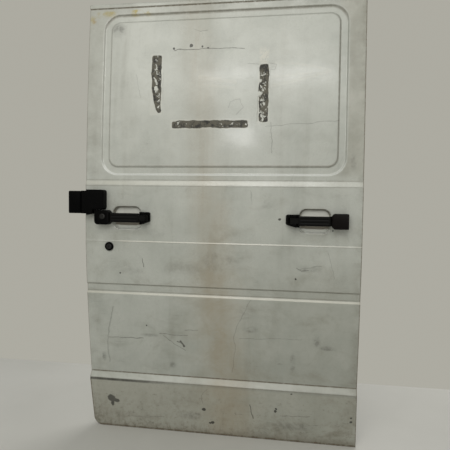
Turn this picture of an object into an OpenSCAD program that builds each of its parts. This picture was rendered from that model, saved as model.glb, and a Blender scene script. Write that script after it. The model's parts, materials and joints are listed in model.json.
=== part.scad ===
// Sliding side door of a panel van, seen from outside at the front.
// X runs along the van towards its nose, Y points into the van and Z up. All sizes are millimetres.
// The modules are drawn in door coordinates: X 0 at mid width, Z 0 at the bottom edge, Y 0 close to
// the outermost line of the skin. place() then moves the origin to the seat under the lower roller arm.

/* [Door] */
// Overall width of the outer skin
door_w = 1050; // [1040:5:1080]
// Overall height of the outer skin
door_h = 1675; // [1670:1:1690]
// Thickness that the sheet metal is drawn with
sheet = 2; // [1.8:0.1:2.2]
// Radius of the rear bottom corner
corner_r = 38; // [30:1:45]
// Height at which the rear edge starts to taper in
taper_z = 190; // [180:1:195]
// How far the rear edge has tapered in where the corner begins
taper_x = 14; // [10:1:30]

/* [Pressed lines of the skin] */
// Lower edge of the beading along the top
bead_z = 1657; // [1655:1:1660]
// How far that beading stands out
bead_out = 3; // [2:0.5:4]
// Top of the waist ledge
belt_top_z = 991; // [985:1:995]
// Foot of the waist ledge
belt_low_z = 971; // [965:1:975]
// Sharp crease below the handles
crease_z = 758; // [755:1:760]
// Upper edge of the rubbing strip channel
groove_top_z = 588; // [584:1:592]
// Lower edge of the rubbing strip channel
groove_low_z = 548; // [540:1:552]
// Depth of the rubbing strip channel
groove_d = 5.5; // [4:0.5:7]
// Top of the sill ledge
ledge_top_z = 221; // [215:1:225]
// Foot of the sill ledge
ledge_low_z = 199; // [195:1:205]
// How far the sill panel stands out below its ledge
ledge_out = 15; // [10:1:18]

/* [Window blank] */
// Outer width of the channel pressed round the blank
blank_w = 928; // [900:2:940]
// Lower edge of that channel
blank_low_z = 1011; // [1008:1:1020]
// Upper edge of that channel
blank_top_z = 1631; // [1625:1:1635]
// Outer corner radius of that channel
blank_r = 66; // [60:1:80]
// Width of the channel
channel_w = 34; // [26:1:38]
// Depth of the channel
channel_d = 5; // [4:0.5:6]

/* [Handles] */
// Height of the grips' middle line
handle_z = 848; // [845:1:851]
// Distance of each finger scoop's middle from mid width
scoop_x = 356; // [352:1:360]
// Width of a finger scoop
scoop_w = 112; // [104:1:114]
// Height of a finger scoop
scoop_h = 89; // [80:1:92]
// Depth of a finger scoop
scoop_d = 20; // [16:1:22]
// Diameter of the key barrels
barrel_d = 21; // [19:0.5:22]

/* [Door lock] */
// Place of the round lock across the door
lock_x = -427; // [-430:1:-424]
// Height of the round lock
lock_z = 735; // [730:1:738]
// Diameter of its rosette
rosette_d = 34; // [32:1:36]

/* [Middle roller arm] */
// Height of the middle line of the arm
arm_z = 905; // [903:1:907]
// Diameter of the arm's hinge pin
pin_d = 12; // [10:1:12]
// Height of the fixed cover over the hinge
cover_h = 97; // [94:1:98]
// Height of the cover that swings with the arm
shroud_h = 86; // [84:1:88]

/* [Hidden] */
$fn = 48;

half_w = door_w / 2;
// Bend rows: the outer face's Y at a height, stretch by stretch
upper_in = 4;
upper_slope = 0.025;
upper_curl = 0.08;
waist_y = -1.3;
waist_bulge = 0.9;
lower_y = -3;
lower_slope = 0.046;
lower_curl = 0.0001;
sill_tuck = 0.041;
// Heights over which the steps of the skin run
crease_step = 2;
bead_step = 1.5;
wall_step = 4;
ramp_step = 8;
// Edge of the skin: hem, and the flange of the inner panel that it is folded over
hem_w = 11;
hem_gap = 2.2;
flange_t = 1.9;
flange_in = 2.5;
wall_in = 12;
seal_in = 16;
seal_w = 14;
seal_t = 9;
// Stiffeners bonded behind the skin
hat_half = 15;
hat_t = 1.5;
blank_hat_x = 150;
blank_hat_end = 12;
blank_hat_foot = 30;
blank_hat_deep = 9;
low_hat_x = 505;
low_hat_z = 425;
low_hat_foot = 34;
low_hat_deep = 14;
// Inner face of the inner panel as [Y, Z] corners
inner_line = [[90, 0], [90, 225], [58, 600], [58, 1000], [92, 1560], [92, door_h]];
// Cut-outs of the inner panel as [X low, X high, Z low, Z high, radius]
cutouts = [
    [-415, 415, 1075, 1585, 60],
    [-440, -70, 640, 900, 40],
    [70, 440, 640, 900, 40],
    [-440, -70, 260, 560, 40],
    [70, 440, 260, 560, 40]
];
// Range in Y that takes in the whole door
through = [-20, 140];
// Finger scoops
scoop_drop = 1.5;
scoop_r = 28;
// Handle, as distances from mid width, heights from the grip's middle line and distances out of the door
tip_x = 252;
rear_tip_x = 262;
tip_wall = 2.5;
hinge_end_x = 290;
hinge_toe_x = 302;
grip_from_x = 298;
grip_to_x = 411;
block_x = 416;
block_toe_x = 406;
block_end_x = 474;
block_h = 55;
block_r = 14;
block_flare = 8;
hinge_top = 22;
hinge_low = 24;
hinge_tip_low = 16;
tip_r = 7;
grip_h = 35;
grip_t = 14;
grip_r = 5;
toe_out = 16;
tip_out = 14;
block_out = 38;
grip_out = 40;
pivot_x = 274;
pivot_out = 21;
pivot_d = 5;
eye_d = 15;
eye_h = 20;
fork_gap = 0.6;
fit_gap = 0.05;
seat_gap = 0.1;
key_x = 442;
key_z = 852;
key_out = 39;
// Middle roller arm
hinge_x = -500;
hinge_y = 22;
pocket_low = arm_z - 25;
pocket_top = arm_z + 35;
pocket_x = -468;
pocket_y = 51;
pocket_wall = 2;
boss_d = 24;
arm_t = 8;
cover_to_x = -438;
cover_step_x = -482;
cover_step_z = handle_z + block_h / 2 + 2;
cover_out = 38;
shroud_from_x = -580;
shroud_to_x = -532;
shroud_out = 35;
shroud_in = 10;
cover_wall = 3;
cover_r = 10;
shroud_r = 5;
step_r = 6;
pin_head = 4;
head_d = 19;
boss_gap = 0.5;
bar_y = 12;
bar_t = 20;
load_x = -560;
load_drop = 18;
load_d = 26;
load_axle = 8;
tab_half = 18;
tab_drop = 34;
tab_t = 5;
neck_half = 14;
guide_y = 23;
guide_d = 18;
guide_gap = 22;
guide_stud = 6;
guide_low = 5.5;
guide_h = 10.5;
// Lower roller arm
low_x = 430;
seat_y = 165;
seat_z = 96;
plate_y = 90;
plate_t = 6;
plate_half = 50;
plate_low = 40;
plate_top = 190;
shelf_half = 30;
shelf_end = 232;
rib_t = 6;
rib_end = 180;
rib_top = 180;
low_tab_z = 62;
axle_z = 78;
axle_end = 250;
axle_d = 10;
low_load_y = 234;
low_load_t = 14;
low_load_d = 34;
low_stud_y = 205;
stud_d = 8;
low_guide_d = 28;
roller_t = 14;
// Upper roller arm
top_x = 465;
top_plate_y = 92;
top_plate_t = 4;
top_plate_half = 30;
top_plate_low = 1580;
top_plate_top = 1640;
top_arm_half = 20;
top_arm_z = 1626;
top_arm_t = 6;
top_arm_end = 170;
top_stud_y = 154;
top_roller_d = 26;
// Locks
latch_low = 695;
lock_low = 770;
lock_h = 120;
lock_mouth_z = 850;
latch_mouth_z = 740;
mouth = 24;
mouth_deep = 42;
mouth_rim = 10;
mouth_y = [30, 70];
case_deep = 70;
case_in = 14.2;
case_y = [12, 55.8];
claw_x = 34;
claw_y = 42;
claw_pin = 6;
claw_t = 8;
claw_root = 40;
claw_line = [[0, 33], [23, 33], [23, 39], [9, 39], [9, 47], [23, 47], [23, 53], [0, 53]];
link_y = 40;
link_z = 792;
link_d = 8;
// Inside handle, its dish as X and Z edges
dish = [320, 430, 935, 998];
dish_y = 58;
dish_deep = 10;
dish_floor = 2;
dish_wall = 6;
lever_z = [950, 983];
lever_x = [332, 418];
lever_y = [66, 71];
lever_foot_x = 390;
lever_web_x = 406;
// Centring wedges on the door edges, outline as [distance out of the edge, Y]
locator_low = 380;
locator_high = 1300;
locator_h = 44;
locator_line = [[0, 38], [0, 70], [10, 64], [10, 44]];
// Slot in the locks' barrels
slit_half = 1.2;
slit_h = 10;
slit_deep = 4;
lock_out = 9;
rosette_out = 6;
spigot_d = barrel_d + 3.8;

// Rounded rectangle from its edges
module pad(x0, x1, y0, y1, r) {
    translate([x0 + r, y0]) square([x1 - x0 - 2 * r, y1 - y0]);
    translate([x0, y0 + r]) square([x1 - x0, y1 - y0 - 2 * r]);
    for (x = [x0 + r, x1 - r], y = [y0 + r, y1 - r]) translate([x, y]) circle(r);
}

// Flat outline in X and Z, given a thickness in Y
module along_y(y0, y1) translate([0, y1, 0]) rotate([90, 0, 0]) linear_extrude(y1 - y0) children();

// Flat outline in Y and Z, given a length in X
module along_x(x0, x1) translate([x0, 0, 0]) rotate([90, 0, 90]) linear_extrude(x1 - x0) children();

// Box from its low and high corner
module block(low, high) translate(low) cube(high - low);

// Rod along Y or Z
module rod_y(x, z, y0, y1, d) translate([x, y1, z]) rotate([90, 0, 0]) cylinder(h = y1 - y0, d = d);
module rod_z(x, y, z0, z1, d) translate([x, y, z0]) cylinder(h = z1 - z0, d = d);

// Outer face of the skin, from the bottom edge to the top one
function upper(z) = let (s = z - belt_top_z)
    upper_in + upper_slope * s + upper_curl * s * s / 2 / (door_h - belt_top_z);
function waist(z) = waist_y - waist_bulge * sin(180 * (z - crease_z) / (belt_low_z - crease_z));
function lower(z) = let (d = crease_z - z) lower_y + lower_slope * d + lower_curl * d * d;
function sill(z) = lower(ledge_top_z) - ledge_out + sill_tuck * (ledge_low_z - z);
function steps(from, to, n) = [for (i = [0:n]) from + (to - from) * i / n];
skin_line = concat(
    [for (z = [0, ledge_low_z]) [sill(z), z]],
    [for (z = steps(ledge_top_z, groove_low_z, 6)) [lower(z), z]],
    [[lower(groove_low_z + ramp_step) + groove_d, groove_low_z + ramp_step],
     [lower(groove_top_z - wall_step) + groove_d, groove_top_z - wall_step]],
    [for (z = steps(groove_top_z, crease_z - crease_step, 4)) [lower(z), z]],
    [for (z = steps(crease_z, belt_low_z, 3)) [waist(z), z]],
    [for (z = steps(belt_top_z, bead_z, 12)) [upper(z), z]],
    [[upper(bead_z) - bead_out, bead_z + bead_step],
     [upper(door_h - 5) - bead_out, door_h - 5],
     [upper(door_h) - 0.5, door_h]]
);
function shifted(line, by) = [for (p = line) [p[0] + by, p[1]]];
function reversed(line) = [for (i = [len(line) - 1:-1:0]) line[i]];

// Layer that follows the skin, from one distance behind its face to another
module skin_layer(from, to)
    along_x(-half_w, half_w) polygon(concat(shifted(skin_line, from), reversed(shifted(skin_line, to))));

// Layer that follows the inner panel's face, towards the cabin from it
module inner_layer(from, to)
    along_x(-half_w, half_w) polygon(concat(shifted(inner_line, from), reversed(shifted(inner_line, to))));

// Door outline in X and Z, drawn in by a margin, with the tapered and rounded rear bottom corner
function outline(margin) =
    let (
        slant = atan(taper_x / (taper_z - corner_r)),
        reach = half_w * cos(slant) - taper_z * sin(slant),
        centre_x = -(reach - corner_r + corner_r * sin(slant)) / cos(slant),
        start_z = (-(reach - margin) + (half_w - margin) * cos(slant)) / sin(slant)
    )
    concat(
        [[half_w - margin, margin], [half_w - margin, door_h - margin],
         [margin - half_w, door_h - margin], [margin - half_w, start_z]],
        [for (a = steps(180 + slant, 270, 6))
            [centre_x + (corner_r - margin) * cos(a), corner_r + (corner_r - margin) * sin(a)]]
    );

// Rim of the door outline between two margins, right through the door
module rim(from, to) along_y(through[0], through[1]) difference() {
    polygon(outline(from));
    polygon(outline(to));
}

module blank_outline(grow) pad(
    -blank_w / 2 - grow, blank_w / 2 + grow, blank_low_z - grow, blank_top_z + grow, blank_r + grow);

module scoop_outline(side, grow) pad(
    side * scoop_x - scoop_w / 2 - grow, side * scoop_x + scoop_w / 2 + grow,
    handle_z - scoop_drop - scoop_h / 2 - grow, handle_z - scoop_drop + scoop_h / 2 + grow, scoop_r + grow);

// Room that the middle arm's pocket takes out of the door's rear edge
module pocket_room() block([-half_w - 5, -10, pocket_low], [pocket_x, pocket_y, pocket_top]);

module outer_skin() color([0.74, 0.75, 0.70]) {
    difference() {
        union() {
            // Sheet, folded back at its edge into the hem
            intersection() {
                skin_layer(0, sheet);
                along_y(through[0], through[1]) polygon(outline(0));
            }
            intersection() {
                skin_layer(0, 2 * sheet + hem_gap);
                rim(0, sheet);
            }
            intersection() {
                skin_layer(sheet + hem_gap, 2 * sheet + hem_gap);
                rim(0, hem_w);
            }
        }
        along_y(through[0], through[1]) difference() {
            blank_outline(0);
            blank_outline(-channel_w);
        }
        for (side = [-1, 1]) along_y(through[0], through[1]) scoop_outline(side, sheet);
        rod_y(lock_x, lock_z, -20, 20, barrel_d + 4);
        rod_y(-key_x, key_z, -20, 20, barrel_d + 4);
        pocket_room();
    }
    // Channel round the window blank
    intersection() {
        skin_layer(channel_d, channel_d + sheet);
        along_y(through[0], through[1]) difference() {
            blank_outline(sheet);
            blank_outline(-channel_w - sheet);
        }
    }
    intersection() {
        skin_layer(0, channel_d + sheet);
        along_y(through[0], through[1]) {
            difference() {
                blank_outline(sheet);
                blank_outline(0);
            }
            difference() {
                blank_outline(-channel_w);
                blank_outline(-channel_w - sheet);
            }
        }
    }
}

// Cup behind a grip, its rim flush with the skin
module scoop(side) color([0.74, 0.75, 0.70]) difference() {
    along_y(-20, scoop_d) scoop_outline(side, sheet);
    along_y(-21, scoop_d - sheet) scoop_outline(side, 0);
    skin_layer(-40, 0);
}

module inner_panel() color([0.70, 0.70, 0.65]) difference() {
    union() {
        intersection() {
            skin_layer(sheet + seat_gap, sheet + seat_gap + flange_t);
            rim(flange_in, wall_in + sheet);
        }
        intersection() {
            along_x(-half_w, half_w)
                polygon(concat(shifted(skin_line, sheet + seat_gap), reversed(inner_line)));
            rim(wall_in, wall_in + sheet);
        }
        intersection() {
            inner_layer(-sheet, 0);
            along_y(through[0], through[1]) polygon(outline(wall_in));
        }
    }
    for (c = cutouts) along_y(40, 120) pad(c[0], c[1], c[2], c[3], c[4]);
    pocket_room();
    lock_mouth(1, lock_mouth_z);
    lock_mouth(-1, latch_mouth_z);
}

// Strip of a layer behind the skin, cut to a box
module skin_strip(x0, x1, z0, z1, from, to) intersection() {
    skin_layer(from, to);
    block([x0, -20, z0], [x1, 140, z1]);
}

// Hat section as [low, high, from, to] strips: crown, two webs and two feet
function hat(foot, deep) = [
    [-hat_half, hat_half, deep - hat_t, deep],
    [-hat_half, hat_t - hat_half, 0, deep],
    [hat_half - hat_t, hat_half, 0, deep],
    [-foot, hat_t - hat_half, 0, hat_t],
    [hat_half - hat_t, foot, 0, hat_t]
];

// Upright stiffener behind the window blank
module blank_stiffener(x) color([0.62, 0.62, 0.58]) {
    low = blank_low_z + channel_w + blank_hat_end;
    high = blank_top_z - channel_w - blank_hat_end;
    for (h = hat(blank_hat_foot, blank_hat_deep))
        skin_strip(x + h[0], x + h[1], low, high, sheet + h[2], sheet + h[3]);
}

// Stiffener across the lower panel
module lower_stiffener() color([0.62, 0.62, 0.58])
    for (h = hat(low_hat_foot, low_hat_deep))
        skin_strip(-low_hat_x, low_hat_x, low_hat_z + h[0], low_hat_z + h[1], sheet + h[2], sheet + h[3]);

module door_seal() color([0.08, 0.08, 0.08]) intersection() {
    inner_layer(0, seal_t);
    rim(seal_in, seal_in + seal_w);
}

// Mouth in a door edge that takes a striker of the body, on the front (1) or rear (-1) edge
module lock_mouth(side, z) {
    near = side * (half_w - mouth_deep);
    far = side * (half_w - mouth_rim);
    block([min(near, far), mouth_y[0], z - mouth / 2], [max(near, far), mouth_y[1], z + mouth / 2]);
}

// Pin that a claw turns on
module claw_pivot(z, d) rod_z(half_w - claw_x, claw_y, z - mouth / 2 - claw_t, z + mouth / 2 + claw_t, d);

// Lock in the front edge
module lock_case(low, z) color([0.52, 0.52, 0.48]) difference() {
    block([half_w - case_deep, case_y[0], low], [half_w - case_in, case_y[1], low + lock_h]);
    block([half_w - mouth_deep, mouth_y[0], z - mouth / 2], [half_w, mouth_y[1], z + mouth / 2]);
    claw_pivot(z, claw_pin + 2 * fit_gap);
}
module lock_claw(z) color([0.42, 0.42, 0.40]) {
    translate([half_w - claw_root, 0, z - claw_t / 2]) linear_extrude(claw_t) polygon(claw_line);
    claw_pivot(z, claw_pin);
}

module link_rod() color([0.55, 0.55, 0.52]) translate([case_deep - half_w, link_y, link_z])
    rotate([0, 90, 0]) cylinder(h = door_w - 2 * case_deep, d = link_d);

module dish_outline(grow, r) pad(dish[0] - grow, dish[1] + grow, dish[2] - grow, dish[3] + grow, r);
module inside_handle_dish() color([0.12, 0.12, 0.12]) difference() {
    along_y(dish_y, dish_y + dish_deep) dish_outline(0, dish_wall + 4);
    along_y(dish_y + dish_floor, dish_y + dish_deep + 1) dish_outline(-dish_wall, dish_wall);
}
module inside_handle_lever() color([0.16, 0.16, 0.16]) {
    block([lever_foot_x, dish_y + dish_floor, lever_z[0] - 2], [lever_x[1], lever_y[0] - 2, lever_z[1] + 2]);
    block([lever_x[0], lever_y[0], lever_z[0]], [lever_x[1], lever_y[1], lever_z[1]]);
    block([lever_web_x, lever_y[0] - 3, lever_z[0]], [lever_x[1], lever_y[0] + 1, lever_z[1]]);
}

// Rubber-faced wedge on a door edge that centres the door in its opening
module locator(side, z) color([0.10, 0.10, 0.10]) translate([0, 0, z]) linear_extrude(locator_h)
    polygon([for (p = locator_line) [side * (half_w - wall_in + p[0]), p[1]]]);

module lower_arm() color([0.30, 0.30, 0.28]) {
    foot = plate_y + plate_t;
    top = seat_z + arm_t;
    along_y(plate_y, foot) pad(low_x - plate_half, low_x + plate_half, plate_low, plate_top, 8);
    difference() {
        block([low_x - shelf_half, foot - 1, seat_z], [low_x + shelf_half, shelf_end, top]);
        rod_z(low_x, low_stud_y, seat_z - 1, top + 1, stud_d + 2 * fit_gap);
    }
    for (x = [low_x - shelf_half, low_x + shelf_half - rib_t])
        along_x(x, x + rib_t) polygon([[foot - 1, top - 1], [rib_end, top - 1], [foot - 1, rib_top]]);
    block([low_x - tab_half, shelf_end - plate_t, low_tab_z], [low_x + tab_half, shelf_end, seat_z + 1]);
    rod_y(low_x, axle_z, shelf_end - 1, axle_end, axle_d);
}
module lower_load_roller() color([0.20, 0.20, 0.20]) difference() {
    rod_y(low_x, axle_z, low_load_y, low_load_y + low_load_t, low_load_d);
    rod_y(low_x, axle_z, low_load_y - 1, axle_end + 1, axle_d + 2 * fit_gap);
}
module lower_guide_roller() color([0.20, 0.20, 0.20]) {
    top = seat_z + arm_t;
    rod_z(low_x, low_stud_y, seat_z + 1, top + 4, stud_d);
    rod_z(low_x, low_stud_y, top + 2, top + 2 + roller_t, low_guide_d);
}

module upper_arm() color([0.30, 0.30, 0.28]) {
    foot = top_plate_y + top_plate_t;
    top = top_arm_z + top_arm_t;
    along_y(top_plate_y, foot)
        pad(top_x - top_plate_half, top_x + top_plate_half, top_plate_low, top_plate_top, 6);
    difference() {
        block([top_x - top_arm_half, foot - 1, top_arm_z], [top_x + top_arm_half, top_arm_end, top]);
        rod_z(top_x, top_stud_y, top_arm_z - 1, top + 1, stud_d + 2 * fit_gap);
    }
}
module upper_roller() color([0.20, 0.20, 0.20]) {
    top = top_arm_z + top_arm_t;
    rod_z(top_x, top_stud_y, top_arm_z - 2, top + 4, stud_d);
    rod_z(top_x, top_stud_y, top + 2, top + 2 + roller_t, top_roller_d);
}

// Welded pocket in the rear edge that the middle arm hinges in
module arm_pocket() color([0.66, 0.66, 0.61]) difference() {
    low = pocket_low + pocket_wall;
    top = pocket_top - pocket_wall;
    block([1 - half_w, -1, pocket_low], [pocket_x, pocket_y, pocket_top]);
    block([-half_w - 1, -2, low], [pocket_x - pocket_wall, pocket_y - pocket_wall, top]);
    block([-half_w - 1, pocket_y - 11, low], [wall_in + sheet - half_w, pocket_y + 9, top]);
    rod_z(hinge_x, hinge_y, pocket_low - 1, pocket_top + 1, pin_d + 2 * fit_gap);
}
module arm_hinge_pin() color([0.60, 0.60, 0.58]) {
    rod_z(hinge_x, hinge_y, pocket_low - pin_head, pocket_top + 1, pin_d);
    rod_z(hinge_x, hinge_y, pocket_top, pocket_top + pin_head, head_d);
}

// Outline of the fixed cover, stepped to clear the rear handle
module hinge_cover_outline(grow) {
    edge = -half_w - 1 - grow;
    low = arm_z - cover_h / 2 - grow;
    pad(edge, cover_to_x + grow, cover_step_z - grow, arm_z + cover_h / 2 + grow, cover_r + grow);
    pad(edge, cover_step_x + grow, low, arm_z + grow, step_r + grow);
    translate([edge, low]) square([2 * cover_r, cover_h + 2 * grow]);
}
module hinge_cover() color([0.07, 0.07, 0.07]) difference() {
    along_y(-cover_out, 5) hinge_cover_outline(0);
    along_y(cover_wall - cover_out, 6) hinge_cover_outline(-cover_wall);
    skin_layer(-seat_gap, 40);
}

module carriage_arm() color([0.34, 0.34, 0.32]) {
    low = arm_z - arm_t / 2;
    top = arm_z + arm_t / 2;
    boss_low = pocket_low + pocket_wall + boss_gap;
    boss_top = pocket_top - pocket_wall - boss_gap;
    difference() {
        union() {
            rod_z(hinge_x, hinge_y, boss_low, boss_top, boss_d);
            block([shroud_from_x + 2, bar_y, low], [hinge_x, bar_y + bar_t, top]);
        }
        rod_z(hinge_x, hinge_y, pocket_low, pocket_top, pin_d + 2 * fit_gap);
    }
    block([load_x - tab_half, bar_y, arm_z - tab_drop], [load_x + tab_half, bar_y + tab_t, arm_z]);
    block([load_x - neck_half, cover_wall - shroud_out, low], [load_x + neck_half, bar_y + 1, top]);
    rod_y(load_x, arm_z - load_drop, bar_y + tab_t - 1, bar_y + tab_t + 17, load_axle);
    for (side = [-1, 1])
        rod_z(load_x + side * guide_gap / 2, guide_y, arm_z, arm_z + guide_low + guide_h + 2, guide_stud);
}
module carriage_load_roller() color([0.20, 0.20, 0.20]) difference() {
    near = bar_y + tab_t + 2;
    rod_y(load_x, arm_z - load_drop, near, near + 13, load_d);
    rod_y(load_x, arm_z - load_drop, near - 1, near + 14, load_axle + 2 * fit_gap);
}
module carriage_guide_roller(side) color([0.20, 0.20, 0.20]) difference() {
    x = load_x + side * guide_gap / 2;
    low = arm_z + guide_low;
    rod_z(x, guide_y, low, low + guide_h, guide_d);
    rod_z(x, guide_y, low - 0.5, low + guide_h + 1, guide_stud + 2 * fit_gap);
}
module carriage_cover() color([0.07, 0.07, 0.07]) difference() {
    along_y(-shroud_out, shroud_in)
        pad(shroud_from_x, shroud_to_x, arm_z - shroud_h / 2, arm_z + shroud_h / 2, shroud_r);
    along_y(cover_wall - shroud_out, shroud_in + 1)
        pad(shroud_from_x + cover_wall, shroud_to_x - cover_wall,
            arm_z - shroud_h / 2 + cover_wall, arm_z + shroud_h / 2 - cover_wall, shroud_r - cover_wall);
}

// Fixed block at the outer end of a grip, drawn for the front handle
module handle_block() difference() {
    union() {
        along_y(-block_out, 5) intersection() {
            pad(block_x, block_end_x, handle_z - block_h / 2, handle_z + block_h / 2, 3);
            // Slanted corners next to the grip
            polygon([
                [block_x, handle_z - block_h / 2 + block_flare],
                [block_x + block_flare, handle_z - block_h / 2],
                [block_end_x, handle_z - block_h / 2],
                [block_end_x, handle_z + block_h / 2],
                [block_x + block_flare, handle_z + block_h / 2],
                [block_x, handle_z + block_h / 2 - block_flare]
            ]);
        }
        block([block_toe_x, -toe_out, handle_z - grip_h / 2], [block_x + 1, 5, handle_z + grip_h / 2]);
    }
    skin_layer(-seat_gap, 40);
}

// Fork that a grip hinges in, drawn for the front handle. Its inner tip is at X tip.
module handle_hinge_block(tip) {
    difference() {
        intersection() {
            translate([0, 0, handle_z - 40]) linear_extrude(80) polygon([[tip, 5], [tip, -tip_out],
                [pivot_x, -block_out], [hinge_end_x, -block_out], [hinge_end_x, -toe_out],
                [hinge_toe_x, -toe_out], [hinge_toe_x, 5]]);
            along_y(-60, 10) polygon(concat(
                [for (a = steps(180, 90, 4))
                    [tip + tip_r + tip_r * cos(a), handle_z + hinge_top - tip_r + tip_r * sin(a)]],
                [[hinge_toe_x, handle_z + hinge_top], [hinge_toe_x, handle_z - hinge_low],
                 [hinge_end_x, handle_z - hinge_low]],
                [for (a = steps(270, 180, 4))
                    [tip + tip_r + tip_r * cos(a), handle_z - hinge_tip_low + tip_r + tip_r * sin(a)]]
            ));
        }
        block([max(pivot_x - eye_d / 2 - 4, tip + tip_wall), -60, handle_z - eye_h / 2 - fork_gap],
            [hinge_end_x + 1, -9, handle_z + eye_h / 2 + fork_gap]);
        skin_layer(-seat_gap, 40);
    }
    rod_z(pivot_x, -pivot_out, handle_z - eye_h / 2 - 2, handle_z + eye_h / 2 + 2, pivot_d);
}

// Grip that is pulled outwards, drawn for the front handle
module handle_grip() {
    along_x(grip_from_x, grip_to_x)
        pad(-grip_out, grip_t - grip_out, handle_z - grip_h / 2, handle_z + grip_h / 2, grip_r);
    difference() {
        union() {
            rod_z(pivot_x, -pivot_out, handle_z - eye_h / 2, handle_z + eye_h / 2, eye_d);
            translate([0, 0, handle_z - eye_h / 2]) linear_extrude(eye_h) polygon([
                [pivot_x, -pivot_out - eye_d / 2], [grip_from_x, -36], [grip_from_x + 4, -36],
                [grip_from_x + 4, -27], [grip_from_x - 5, -27], [pivot_x + 8, eye_d / 2 - pivot_out],
                [pivot_x, eye_d / 2 - pivot_out]]);
        }
        rod_z(pivot_x, -pivot_out, handle_z - eye_h, handle_z + eye_h, pivot_d + 2 * fit_gap);
    }
}

module front_handle_block() color([0.07, 0.07, 0.07]) handle_block();
module front_handle_hinge_block() color([0.07, 0.07, 0.07]) handle_hinge_block(tip_x);
module front_handle_grip() color([0.07, 0.07, 0.07]) handle_grip();
module rear_handle_hinge_block() color([0.07, 0.07, 0.07]) mirror([1, 0, 0]) handle_hinge_block(rear_tip_x);
module rear_handle_grip() color([0.07, 0.07, 0.07]) mirror([1, 0, 0]) handle_grip();

module rear_handle_block() color([0.07, 0.07, 0.07]) difference() {
    mirror([1, 0, 0]) handle_block();
    rod_y(-key_x, key_z, -60, 30, barrel_d + 2 * fit_gap);
    // Rounded lower corner
    difference() {
        block([-block_end_x - 1, -60, handle_z - block_h / 2 - 1],
            [block_r - block_end_x, 10, handle_z - block_h / 2 + block_r]);
        rod_y(block_r - block_end_x, handle_z - block_h / 2 + block_r, -61, 11, 2 * block_r);
    }
}
module rear_key_barrel() color([0.14, 0.14, 0.14]) difference() {
    rod_y(-key_x, key_z, -key_out, 14, barrel_d);
    block([-key_x - slit_half, -60, key_z - slit_h / 2],
        [-key_x + slit_half, slit_deep - key_out, key_z + slit_h / 2]);
}

module lock_rosette() color([0.07, 0.07, 0.07]) difference() {
    union() {
        intersection() {
            skin_layer(-rosette_out, -seat_gap);
            rod_y(lock_x, lock_z, -20, 20, rosette_d);
        }
        rod_y(lock_x, lock_z, -4, 12, spigot_d);
    }
    rod_y(lock_x, lock_z, -30, 30, barrel_d + 2 * fit_gap);
}
module lock_barrel() color([0.14, 0.14, 0.14]) difference() {
    rod_y(lock_x, lock_z, -lock_out, 18, barrel_d);
    block([lock_x - slit_half, -30, lock_z - slit_h / 2],
        [lock_x + slit_half, slit_deep - lock_out, lock_z + slit_h / 2]);
}

// Moves the origin to the seat under the lower roller arm
module place() translate([-low_x, -seat_y, -seat_z]) children();

place() outer_skin();
place() scoop(1);  // front_scoop
place() scoop(-1);  // rear_scoop
place() inner_panel();
place() blank_stiffener(blank_hat_x);  // blank_stiffener_front
place() blank_stiffener(-blank_hat_x);  // blank_stiffener_rear
place() lower_stiffener();
place() door_seal();
place() lock_case(lock_low, lock_mouth_z);  // front_lock
place() lock_claw(lock_mouth_z);  // front_lock_claw
place() mirror([1, 0, 0]) lock_case(latch_low, latch_mouth_z);  // rear_latch
place() mirror([1, 0, 0]) lock_claw(latch_mouth_z);  // rear_latch_claw
place() link_rod();
place() inside_handle_dish();
place() inside_handle_lever();
place() locator(1, locator_high);  // front_locator_upper
place() locator(1, locator_low);  // front_locator_lower
place() locator(-1, locator_high);  // rear_locator_upper
place() locator(-1, locator_low);  // rear_locator_lower
place() lower_arm();
place() lower_load_roller();
place() lower_guide_roller();
place() upper_arm();
place() upper_roller();
place() arm_pocket();
place() arm_hinge_pin();
place() hinge_cover();
place() carriage_arm();
place() carriage_load_roller();
place() carriage_guide_roller(1);  // carriage_guide_roller_front
place() carriage_guide_roller(-1);  // carriage_guide_roller_rear
place() carriage_cover();
place() front_handle_block();
place() front_handle_hinge_block();
place() front_handle_grip();
place() rear_handle_block();
place() rear_handle_hinge_block();
place() rear_handle_grip();
place() rear_key_barrel();
place() lock_rosette();
place() lock_barrel();
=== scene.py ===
# %% [markdown]
# # The sliding door of a panel van
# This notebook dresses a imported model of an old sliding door: white paint that has gone grey, black
# plastic handles, a black cover over the rear roller arm, and a bare pressed panel on the inside.
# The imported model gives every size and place, so the first step is to load it and to measure it.

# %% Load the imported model
import json
import math

import bmesh
import bpy
import numpy as np
from mathutils import Euler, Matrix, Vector
from mathutils.geometry import delaunay_2d_cdt


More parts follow.
